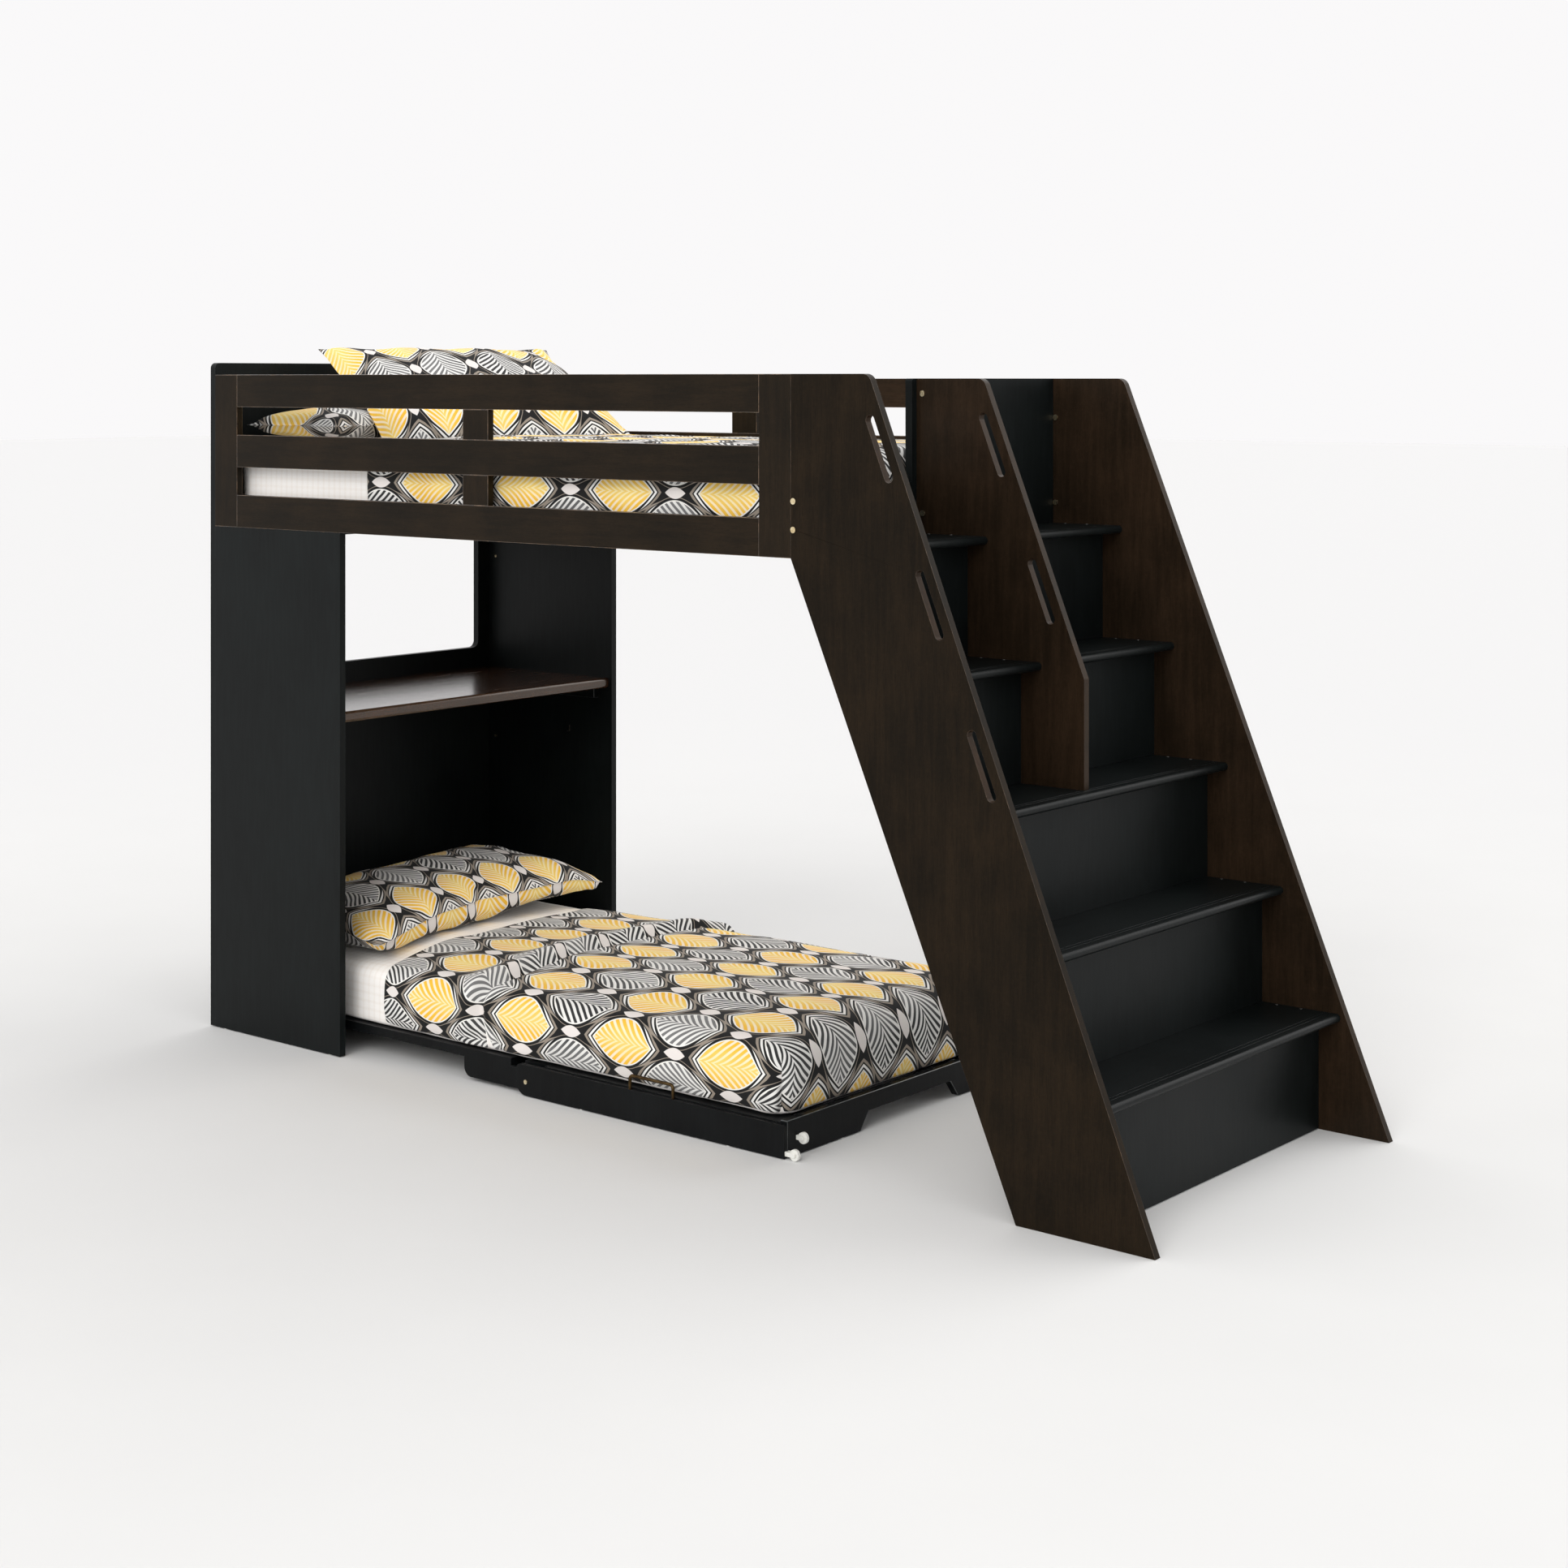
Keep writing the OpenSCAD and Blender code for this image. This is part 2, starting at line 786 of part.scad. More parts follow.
module back_comforter() {
    color(print_cloth) placed()
        comforter(fold_x1, back_mattress_x1, mattress_y0, mattress_y1, drape_z, lower_top, true);
}

// U-shaped brass rods on the rails that keep the mattress in place
module retainer_handles() {
    y = low_y0 + plate_t / 2;
    top = plate_top + handle_h;
    color(brass) placed() both_sides() {
        for (s = [0, 1]) {
            x = s == 0 ? handle_x0 : handle_x1;
            translate([x, y, plate_top]) cylinder(r = handle_r, h = handle_h - handle_bend);
            translate([x + (s == 0 ? handle_bend : -handle_bend), y, top - handle_bend])
                rotate([90, 0, 0]) rotate([0, 0, s == 0 ? 90 : 0])
                    rotate_extrude(angle = 90) translate([handle_bend, 0]) circle(r = handle_r);
        }
        translate([handle_x0 + handle_bend, y, top]) rotate([0, 90, 0])
            cylinder(r = handle_r, h = handle_x1 - handle_x0 - 2 * handle_bend);
    }
}

cheek_t = 2;
fork_r = 5;               // half the height of a fork
wheel_play = 0.5;         // between a wheel and each cheek

// A fork with two cheeks and a pin for one wheel
module wheel_fork(x, y, z, back_x) {
    inner = wheel_w / 2 + wheel_play;
    for (s = [-1, 1])
        side_board(y + s * (inner + cheek_t / 2) - cheek_t / 2, cheek_t)
            outline([[back_x, z - fork_r], [x + fork_r, z - fork_r], [x + fork_r, z + fork_r],
                     [back_x, z + fork_r]],
                [0, 4, 4, 0]);
    box(back_x, back_x + cheek_t, y - inner, y + inner, z - fork_r, z + fork_r);
    rod_y(x, y - inner - 0.01, y + inner + 0.01, z, pin_r);
}

module wheel_brackets() {
    color(white_nylon) placed() both_sides() {
        wheel_fork(floor_wheel_x, floor_wheel_y, wheel_r, low_end_x);
        wheel_fork(end_wheel_x, end_wheel_y, end_wheel_z, low_end_x);
    }
}

back_glide_x = [1330, 1790];
plate_glide_r = 5;
end_glide_y = 260;

module back_glides() {
    color(white_nylon) placed() both_sides() {
        for (x = back_glide_x)
            translate([x, low_y0 + plate_t / 2, 0]) cylinder(r = plate_glide_r, h = glide_t);
        translate([low_end_x - board_t / 2, end_glide_y, 0]) cylinder(r = glide_r, h = glide_t);
    }
}

// ---- Wheels --------------------------------------------------------------

module wheel(x, y, z) {
    half = wheel_w / 2;
    translate([x, y, z]) rotate([90, 0, 0]) rotate_extrude()
        outline([[pin_r + pivot_gap, -half], [wheel_r, -half], [wheel_r, half], [pin_r + pivot_gap, half]],
            [0, 1.5, 1.5, 0]);
}

module near_floor_wheel() {
    color(white_nylon) placed() wheel(floor_wheel_x, floor_wheel_y, wheel_r);
}

module far_floor_wheel() {
    color(white_nylon) placed() far_side() wheel(floor_wheel_x, floor_wheel_y, wheel_r);
}

module near_end_wheel() {
    color(white_nylon) placed() wheel(end_wheel_x, end_wheel_y, end_wheel_z);
}

module far_end_wheel() {
    color(white_nylon) placed() far_side() wheel(end_wheel_x, end_wheel_y, end_wheel_z);
}

head_end_panel();
near_tower_panel();
far_tower_panel();
desk_top();
desk_cleats();
near_guard_top_rail();
near_guard_middle_rail();
near_guard_bottom_rail();
near_guard_left_stile();
near_guard_right_stile();
far_guard_rails();
far_guard_stiles();
guard_middle_posts();
foot_rail();
foot_end_panel();
near_stringer();
far_stringer();
stair_divider();
tread_1();
tread_2();
tread_3();
tread_4();
tread_5();
riser_1();
riser_2();
riser_3();
riser_4();
riser_5();
stair_cleats();
slat_ledgers();
upper_slats();
upper_mattress();
upper_comforter();
upper_pillow_flat();
upper_pillow_propped();
frame_bolts();
tread_screws();
floor_glides();
seat_near_rail();
seat_far_rail();
seat_end_board();
seat_slats();
seat_mattress();
seat_comforter();
fold_bedding();
seat_pillow();
pivot_bolts();
back_near_rail();
back_far_rail();
back_end_board();
back_slats();
back_mattress();
back_comforter();
retainer_handles();
wheel_brackets();
back_glides();
near_floor_wheel();
far_floor_wheel();
near_end_wheel();
far_end_wheel();
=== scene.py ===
import math

import bmesh
import bpy
from mathutils import Euler, Matrix, Vector, noise


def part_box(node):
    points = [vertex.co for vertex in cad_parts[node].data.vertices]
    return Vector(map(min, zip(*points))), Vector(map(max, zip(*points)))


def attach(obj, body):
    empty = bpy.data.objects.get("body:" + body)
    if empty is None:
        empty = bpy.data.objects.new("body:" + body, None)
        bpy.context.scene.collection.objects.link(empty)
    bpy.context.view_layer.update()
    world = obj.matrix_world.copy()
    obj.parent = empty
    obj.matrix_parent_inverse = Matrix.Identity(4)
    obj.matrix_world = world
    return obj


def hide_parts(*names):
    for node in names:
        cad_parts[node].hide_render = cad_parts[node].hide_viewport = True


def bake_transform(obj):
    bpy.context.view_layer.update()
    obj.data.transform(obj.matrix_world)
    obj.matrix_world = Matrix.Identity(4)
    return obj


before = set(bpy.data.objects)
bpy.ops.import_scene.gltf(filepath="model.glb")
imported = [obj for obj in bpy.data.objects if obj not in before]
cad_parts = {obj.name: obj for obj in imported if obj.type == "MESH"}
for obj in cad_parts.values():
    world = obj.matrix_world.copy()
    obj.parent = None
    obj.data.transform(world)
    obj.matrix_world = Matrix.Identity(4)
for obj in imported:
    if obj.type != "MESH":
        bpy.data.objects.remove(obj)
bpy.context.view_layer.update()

# ---- The camera comes first ----

CAMERA_AT = (4.1533, -4.9494, 1.7387)  # from a fit to corners in the photo
CAMERA_TURN = 39.3237  # degrees, looking level
CAMERA_LENS = 59.69  # mm, on a sensor 36 mm wide
CAMERA_SHIFT = -0.2583  # the bed stands below the level line of sight


def add_object(name, data):
    obj = bpy.data.objects.new(name, data)
    bpy.context.scene.collection.objects.link(obj)
    return obj


def make_camera():
    data = bpy.data.cameras.new("camera")
    data.lens = CAMERA_LENS
    data.sensor_width = 36.0
    data.shift_y = CAMERA_SHIFT
    data.clip_end = 200.0
    camera = add_object("camera", data)
    camera.location = CAMERA_AT
    camera.rotation_euler = Euler((math.radians(90), 0, math.radians(CAMERA_TURN)))
    bpy.context.scene.camera = camera


make_camera()

# ---- Shader arithmetic ----


def linear(r, g, b):
    """An sRGB colour, 0 to 255, as the linear colour that shaders take."""

    def one(c):
        c /= 255.0
        return c / 12.92 if c <= 0.04045 else ((c + 0.055) / 1.055) ** 2.4

    return (one(r), one(g), one(b), 1.0)


def operator(operation):
    return lambda term, *others: term.graph.math(operation, term, *others)


class Term:
    """A number in a shader graph, which ordinary arithmetic extends."""

    def __init__(self, graph, out):
        self.graph, self.out = graph, out

    __add__, __sub__ = operator("ADD"), operator("SUBTRACT")
    __mul__, __truediv__ = operator("MULTIPLY"), operator("DIVIDE")
    __abs__ = operator("ABSOLUTE")

    def __rsub__(self, other):
        return self.graph.math("SUBTRACT", other, self)


class Graph:
    """The node tree of one material."""

    def __init__(self, name, base, roughness, **constants):
        self.material = bpy.data.materials.new(name)
        self.material.use_nodes = True
        self.tree = self.material.node_tree
        self.shader = self.tree.nodes["Principled BSDF"]
        self.shader.inputs["Base Color"].default_value = base
        self.shader.inputs["Roughness"].default_value = roughness
        for key, value in constants.items():
            self.shader.inputs[key.replace("_", " ")].default_value = value

    def node(self, kind, inputs=None, **props):
        made = self.tree.nodes.new(kind)
        for key, value in props.items():
            setattr(made, key, value)
        for key, value in (inputs or {}).items():
            self.feed(made.inputs[key], value)
        return made

    def feed(self, socket, value):
        if isinstance(value, Term):
            self.tree.links.new(value.out, socket)
        else:
            socket.default_value = value

    def term(self, made, key=0):
        return Term(self, made.outputs[key])

    def math(self, operation, *values):
        made = self.node("ShaderNodeMath", operation=operation)
        for socket, value in zip(made.inputs, values):
            self.feed(socket, value)
        return self.term(made)

    def mix(self, share, a, b):
        made = self.node("ShaderNodeMix", data_type="RGBA")
        self.feed(made.inputs["Factor"], share)
        self.feed(made.inputs[6], a)
        self.feed(made.inputs[7], b)
        return Term(self, made.outputs[2])

    def ramp(self, value, low, high, out_low=0.0, out_high=1.0):
        """A smooth step of value from low to high."""
        keys = ("Value", "From Min", "From Max", "To Min", "To Max")
        inputs = dict(zip(keys, (value, low, high, out_low, out_high)))
        return self.term(self.node("ShaderNodeMapRange", inputs, interpolation_type="SMOOTHSTEP"))

    def place(self, scale=(1, 1, 1)):
        """Object coordinates in metres, scaled."""
        coords = self.node("ShaderNodeTexCoord")
        mapped = self.node("ShaderNodeMapping", {"Scale": scale})
        self.tree.links.new(coords.outputs["Object"], mapped.inputs["Vector"])
        return self.term(mapped)

    def cloud(self, vector, scale, detail=2.0, rough=0.5, distortion=0.0):
        keys = ("Vector", "Scale", "Detail", "Roughness", "Distortion")
        inputs = dict(zip(keys, (vector, scale, detail, rough, distortion)))
        return self.term(self.node("ShaderNodeTexNoise", inputs))

    def split(self, vector):
        """The x, y and z of a vector."""
        parts = self.node("ShaderNodeSeparateXYZ", {"Vector": vector})
        return [self.term(parts, k) for k in range(3)]

    def uv(self):
        """The cloth's own flat coordinates, in metres."""
        return self.split(self.term(self.node("ShaderNodeUVMap", uv_map="cloth")))[:2]

    def bump(self, height, strength, distance, before=None):
        inputs = {"Height": height, "Strength": strength, "Distance": distance}
        if before is not None:
            inputs["Normal"] = before
        return self.term(self.node("ShaderNodeBump", inputs))

    def finish(self, colour=None, roughness=None, normal=None):
        for key, value in (("Base Color", colour), ("Roughness", roughness), ("Normal", normal)):
            if value is not None:
                self.feed(self.shader.inputs[key], value)
        return self.material


# ---- Board materials ----

STAIR_LEAN = 0.712 / 1.75  # how far the stairs' front edge leans back for each metre up
SLOT_INSET = 0.044  # from that edge to the middle line of the hand slots
SLOT_REACH = 0.026  # from that line to just outside a slot's walls
SLOTS_LOW, SLOTS_HIGH = 0.8, 1.7  # heights below and above the near board's slots
SLOTS_RISE = 0.36  # how much higher the lowest slot is on the boards behind
NEAR_BOARD_Y = -0.3  # between the near board and those behind it
ALONG = {"x": (1, 14, 14), "y": (14, 1, 14), "z": (14, 14, 1)}


def slot_walls(g):
    """1 on the walls of the hand slots, which are coloured a lighter brown."""
    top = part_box("near_stringer")[1]
    coords = g.node("ShaderNodeTexCoord")
    x, y, z = g.split(g.term(coords, "Object"))
    facing = g.split(g.term(coords, "Normal"))
    inset = (z * STAIR_LEAN) * -1.0 + (top.x - x)
    band = g.math("LESS_THAN", abs(inset - SLOT_INSET), SLOT_REACH)
    low_end = g.math("GREATER_THAN", y, NEAR_BOARD_Y) * SLOTS_RISE + SLOTS_LOW
    height = g.math("GREATER_THAN", z, low_end) * g.math("LESS_THAN", z, SLOTS_HIGH)
    return band * height * g.math("LESS_THAN", abs(facing[1]), 0.5)


def lacquered_wood(
    name, dark, light, along, roughness, mottle=0.5, coat=0.03, gloss=0.09, slots=False
):
    """Stained and lacquered wood: long streaks, short pores and slow clouds."""
    g = Graph(
        name, dark, roughness, Coat_Weight=coat, Coat_Roughness=0.16,
        Specular_IOR_Level=gloss, Specular_Tint=(1.0, 0.9, 0.74, 1.0),
    )
    stretched = g.place(ALONG[along])
    streaks = g.cloud(stretched, 5.0, 6.0, 0.62, 0.4)
    pores = g.cloud(stretched, 42.0, 3.0, 0.6)
    clouds = g.cloud(g.place(), 5.5, 3.0, 0.55)
    specks = g.cloud(g.place(), 120.0, 2.0, 0.6)
    tone = g.ramp(streaks, 0.34, 0.68) * 0.4 + g.ramp(clouds, 0.35, 0.7) * mottle
    tone = tone + g.ramp(specks, 0.45, 0.75) * 0.2
    fine = g.ramp(pores, 0.5, 0.66)
    colour = g.mix(tone, dark, light)
    colour = g.mix(fine * 0.35, colour, tuple(c * 0.45 for c in dark[:3]) + (1.0,))
    if slots:
        # the slot walls are coloured a lighter brown
        slot_wall_brown = g.mix(tone, linear(40, 29, 20), linear(66, 48, 34))
        colour = g.mix(slot_walls(g), colour, slot_wall_brown)
    rough = g.ramp(streaks, 0.2, 0.8, roughness - 0.05, roughness + 0.07)
    dimple = g.cloud(g.place(), 230.0, 2.0, 0.5)
    normal = g.bump(pores, 0.10, 0.0006, g.bump(dimple, 0.06, 0.0004))
    return g.finish(colour, rough, normal)


def lacquer(name, dark, light, roughness):
    """Opaque satin lacquer over wood: hardly any grain, slow clouds, orange peel."""
    g = Graph(
        name, dark, roughness, Specular_IOR_Level=0.11, Coat_Weight=0.02, Coat_Roughness=0.2
    )
    clouds = g.cloud(g.place(), 4.0, 3.0, 0.5)
    grain = g.cloud(g.place((14, 14, 1.2)), 9.0, 4.0, 0.6, 0.3)
    peel = g.cloud(g.place(), 260.0, 2.0, 0.5)
    tone = g.ramp(clouds, 0.3, 0.72) * 0.6 + g.ramp(grain, 0.42, 0.62) * 0.4
    rough = g.ramp(clouds, 0.3, 0.7, roughness - 0.04, roughness + 0.05)
    normal = g.bump(peel, 0.10, 0.0005, g.bump(grain, 0.06, 0.0005))
    return g.finish(g.mix(tone, dark, light), rough, normal)


def painted_highlight_edge(name, dark, light, roughness):
    """The same lacquer where an edge is rounded: glossier, and painted lighter as a highlight."""
    g = Graph(name, dark, roughness, Coat_Weight=0.6, Coat_Roughness=0.12)
    # patches of painted highlight along the rounded edge
    highlight_patches = g.cloud(g.place(), 38.0, 4.0, 0.65)
    return g.finish(g.mix(g.ramp(highlight_patches, 0.4, 0.68), dark, light))


ESPRESSO_DARK, ESPRESSO_LIGHT = linear(20, 16, 11), linear(37, 28, 18)

boards = {
    axis: lacquered_wood("espresso_" + axis, ESPRESSO_DARK, ESPRESSO_LIGHT, axis, 0.38)
    for axis in "xz"
}
stair_wood = lacquered_wood(
    "espresso_stairs", ESPRESSO_DARK, ESPRESSO_LIGHT, "z", 0.38, gloss=0.06, slots=True
)
# painted light: the boards behind are the same stain in a lighter and redder copy, as they look
# brighter under the light
FAR_PAINTED_LIT_DARK, FAR_PAINTED_LIT_LIGHT = linear(29, 22, 15), linear(50, 37, 26)
far_stair_wood_painted_light = lacquered_wood(
    "espresso_far_stairs_painted_light", FAR_PAINTED_LIT_DARK, FAR_PAINTED_LIT_LIGHT, "z", 0.38, slots=True
)
far_rail_wood_painted_light = lacquered_wood("espresso_far_rails_painted_light", FAR_PAINTED_LIT_DARK, FAR_PAINTED_LIT_LIGHT, "x", 0.38)
# the rounded edges of the wood boards get a lighter colour, a painted highlight
espresso_highlight_edge = painted_highlight_edge("espresso_highlight_edge", linear(54, 42, 30), linear(112, 88, 64), 0.24)
black = lacquer("black_lacquer", linear(10, 13, 13), linear(18, 22, 22), 0.42)
# the black boards' rounded edges get a lighter colour too, a painted highlight
black_highlight_edge = painted_highlight_edge("black_highlight_edge", linear(26, 30, 31), linear(70, 76, 76), 0.28)
rail_black = lacquer("rail_lacquer", linear(8, 9, 10), linear(16, 18, 19), 0.36)
desk_wood = lacquered_wood(
    "desk_wood", linear(36, 22, 14), linear(70, 44, 28), "y", 0.22, 0.4, 0.5, 0.4
)


def pale_softwood():
    g = Graph("pale_softwood", linear(201, 170, 122), 0.62)
    stretched = g.place((16, 1, 16))
    rings = g.cloud(stretched, 3.2, 5.0, 0.6, 0.8)
    fine = g.cloud(stretched, 36.0, 3.0, 0.6)
    colour = g.mix(g.ramp(rings, 0.35, 0.66), linear(212, 182, 134), linear(176, 138, 92))
    colour = g.mix(g.ramp(fine, 0.52, 0.7) * 0.4, colour, linear(140, 104, 66))
    return g.finish(colour, g.ramp(rings, 0.3, 0.7, 0.55, 0.7), g.bump(fine, 0.2, 0.0005))


def metal(name, dark, light, roughness):
    g = Graph(name, dark, roughness, Metallic=1.0)
    brushed = g.cloud(g.place((900, 60, 60)), 1.0, 3.0, 0.6)
    stains = g.cloud(g.place(), 60.0, 3.0, 0.6)
    rough = g.ramp(brushed, 0.3, 0.7, roughness - 0.07, roughness + 0.1)
    colour = g.mix(g.ramp(stains, 0.35, 0.7), dark, light)
    return g.finish(colour, rough, g.bump(brushed, 0.1, 0.0002))


def nylon():
    g = Graph(
        "nylon", linear(222, 222, 216), 0.42, Subsurface_Weight=0.08,
        Subsurface_Radius=(0.002, 0.002, 0.002),
    )
    moulded = g.cloud(g.place(), 300.0, 3.0, 0.5)
    scuffs = g.cloud(g.place(), 90.0, 4.0, 0.7)
    colour = g.mix(g.ramp(scuffs, 0.5, 0.8), linear(226, 226, 220), linear(184, 182, 174))
    return g.finish(colour, g.ramp(scuffs, 0.3, 0.7, 0.34, 0.52), g.bump(moulded, 0.12, 0.0003))


# ---- Fabrics ----

PITCH = 0.332  # from one leaf to the next along the leaves
ROW = 0.166  # from one row to the next row of the same colour
LEAF_L = 0.0955  # half the length of a leaf
LEAF_H = 0.0635  # half the width of a leaf
OVAL_L = 0.0325  # the same of the small ovals, where the lattice crosses
OVAL_H = 0.0158
VEIN = 0.0215  # from one vein to the next
CHECK = 0.021  # the sheets' woven check
TICKING_CELL = 0.05  # the mattresses' quilting


def weave(g, u, v, pitch):
    """Height of a plain weave over the cloth's flat coordinates."""
    turn = 2 * math.pi / pitch
    return g.math("SINE", u * turn) * g.math("SINE", v * turn)


def lens(g, x, y, length, height):
    """Distance into a pointed oval, positive inside."""
    slope = 2 * height / length**2
    away = height - x * x * (height / length**2) - abs(y)
    return away / g.math("SQRT", x * x * slope**2 + 1.0)


def ogee_print(name):
    """Cotton printed with yellow and grey leaves in a black ogee lattice."""
    g = Graph(
        name, linear(28, 28, 26), 0.85, Sheen_Weight=0.05, Sheen_Roughness=0.5,
        Specular_IOR_Level=0.12,
    )
    u, v = g.uv()

    def cell(du, dv):
        """The place inside the nearest leaf, and which way its veins run."""
        column = g.math("ROUND", (u - du) / PITCH)
        row = g.math("ROUND", (v - dv) / ROW)
        way = g.math("FLOORED_MODULO", column, 2.0) * 2.0 - 1.0
        return (u - du) - column * PITCH, (v - dv) - row * ROW, way

    yx, yy, y_way = cell(0.0, 0.0)
    gx, gy, g_way = cell(PITCH / 2, ROW / 2)
    y_in = lens(g, yx, yy, LEAF_L, LEAF_H)
    g_in = lens(g, gx, gy, LEAF_L, LEAF_H)
    grey = g.math("GREATER_THAN", g_in, y_in)
    inside = g.math("MAXIMUM", y_in, g_in)
    x = yx + grey * (gx - yx)
    y = yy + grey * (gy - yy)
    way = y_way + grey * (g_way - y_way)

    # veins that leave the midrib at a sharp angle and bend outwards, drawn by hand
    cloth = g.term(g.node("ShaderNodeCombineXYZ", {0: u, 1: v}))
    hand = g.cloud(cloth, 22.0, 1.0) - 0.5
    swept = g.math("POWER", abs(y) / 2.3, 0.714)
    springs = x * way + swept + hand * 0.005
    stripe = g.math("SINE", springs * (2 * math.pi / VEIN)) + hand * 0.5
    tint = g.cloud(cloth, 7.0, 2.0)
    pale = g.ramp(abs(y) * 9.0 + tint, 0.35, 0.95)
    yellow = g.mix(pale, linear(246, 214, 120), linear(243, 190, 62))
    cream = g.mix(pale, linear(250, 232, 176), linear(247, 230, 204))
    shade = g.ramp(g.cloud(cloth, 3.1, 1.0), 0.42, 0.58)
    charcoal = g.mix(shade, linear(50, 50, 51), linear(118, 118, 118))
    leaf_yellow = g.mix(g.ramp(stripe, -0.05, 0.45), yellow, cream)
    leaf_grey = g.mix(g.ramp(stripe, -0.25, 0.25), charcoal, linear(232, 231, 228))
    leaf = g.mix(grey, leaf_yellow, leaf_grey)

    # bands round the leaf: thick at its points, thin along its sides
    out = inside * -1.0
    near_point = g.ramp(abs(x), LEAF_L * 0.42, LEAF_L * 1.0)
    taupe_off = abs(out - (near_point * 0.0085 + 0.0082)) - (near_point * 0.0023 + 0.0008)
    white_off = abs(out - 0.0072) - (near_point * 0.0036 - 0.0008)
    ground = g.mix(g.cloud(cloth, 4.0), linear(20, 21, 22), linear(31, 31, 32))
    colour = g.mix(g.ramp(taupe_off, 0.0006, -0.0006), ground, linear(150, 140, 128))
    colour = g.mix(g.ramp(white_off, 0.0005, -0.0005), colour, linear(236, 235, 232))
    colour = g.mix(g.ramp(out, 0.0006, -0.0006), colour, linear(240, 238, 233))
    colour = g.mix(g.ramp(out, -0.0028, -0.0040), colour, leaf)
    first = lens(g, gx, yy, OVAL_L, OVAL_H)
    second = lens(g, yx, gy, OVAL_L, OVAL_H)
    oval = g.ramp(g.math("MAXIMUM", first, second), -0.0006, 0.0006)
    colour = g.mix(oval, colour, linear(232, 226, 222))

    threads = weave(g, u, v, 0.0011)
    slub = g.cloud(cloth, 700.0, 2.0)
    colour = g.mix(g.ramp(slub, 0.4, 0.75) * 0.08, colour, linear(120, 116, 108))
    creases = g.cloud(cloth, 34.0, 4.0, 0.6, 0.3)
    normal = g.bump(threads, 0.12, 0.0003, g.bump(creases, 0.16, 0.004))
    return g.finish(colour, g.ramp(slub, 0.3, 0.7, 0.76, 0.92), normal)


def checked_sheet(name):
    """Cream cotton with a faint woven check."""
    g = Graph(
        name, linear(236, 231, 224), 0.85, Sheen_Weight=0.1, Sheen_Roughness=0.5,
        Specular_IOR_Level=0.15,
    )
    u, v = g.uv()
    cloth = g.term(g.node("ShaderNodeCombineXYZ", {0: u, 1: v}))

    def bands(t):
        return g.ramp(g.math("SINE", t * (2 * math.pi / CHECK)), 0.1, 0.9)

    check = bands(u) * 0.55 + bands(v) * 0.45
    colour = g.mix(check * 0.36, linear(252, 249, 245), linear(232, 222, 210))
    slub = g.cloud(cloth, 600.0, 2.0)
    colour = g.mix(g.ramp(slub, 0.4, 0.75) * 0.12, colour, linear(196, 188, 178))
    creases = g.cloud(cloth, 30.0, 4.0, 0.6, 0.4)
    normal = g.bump(weave(g, u, v, 0.0012), 0.12, 0.0003, g.bump(creases, 0.3, 0.005))
    return g.finish(colour, g.ramp(slub, 0.3, 0.7, 0.78, 0.92), normal)


def ticking(name):
    """Quilted white mattress ticking, seen from under the slats and at the hems."""
    g = Graph(name, linear(214, 212, 206), 0.85, Sheen_Weight=0.2, Sheen_Roughness=0.6)
    u, v = g.uv()
    turn = math.pi / TICKING_CELL
    cells = g.math("SINE", (u + v) * turn) * g.math("SINE", (u - v) * turn)
    puff = g.ramp(abs(cells), 0.0, 0.35)
    fine = weave(g, u, v, 0.0014)
    # the quilting's hollows are painted darker, a painted shade
    colour = g.mix(puff, linear(188, 185, 178), linear(224, 222, 216))
    return g.finish(colour, None, g.bump(fine, 0.1, 0.0003, g.bump(puff, 0.5, 0.004)))


print_cloth = ogee_print("ogee_print")
sheet_cloth = checked_sheet("checked_sheet")
mattress_cloth = ticking("mattress_ticking")

# ---- The CAD boards and fittings ----


def round_edges(obj, width, edge_material=None):
    """Rounds the sharp edges of a board with modifiers; its mesh stays as it is."""
    weld = obj.modifiers.new("weld", "WELD")
    weld.merge_threshold = 1e-5
    bevel = obj.modifiers.new("bevel", "BEVEL")
    bevel.width = width
    bevel.segments = 2
    bevel.limit_method = "ANGLE"
    bevel.angle_limit = math.radians(42)
    if edge_material is not None:
        obj.data.materials.append(edge_material)
        bevel.material = len(obj.data.materials) - 1
    normals = obj.modifiers.new("normals", "WEIGHTED_NORMAL")
    normals.weight = 80


def dress(nodes, material, edge=None, width=0.0012):
    """Gives CAD pieces a material and, unless width is 0, rounded edges."""
    for name in nodes:
        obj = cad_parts[name]
        for slot in obj.material_slots:
            slot.material = material
        if width:
            round_edges(obj, width, edge)


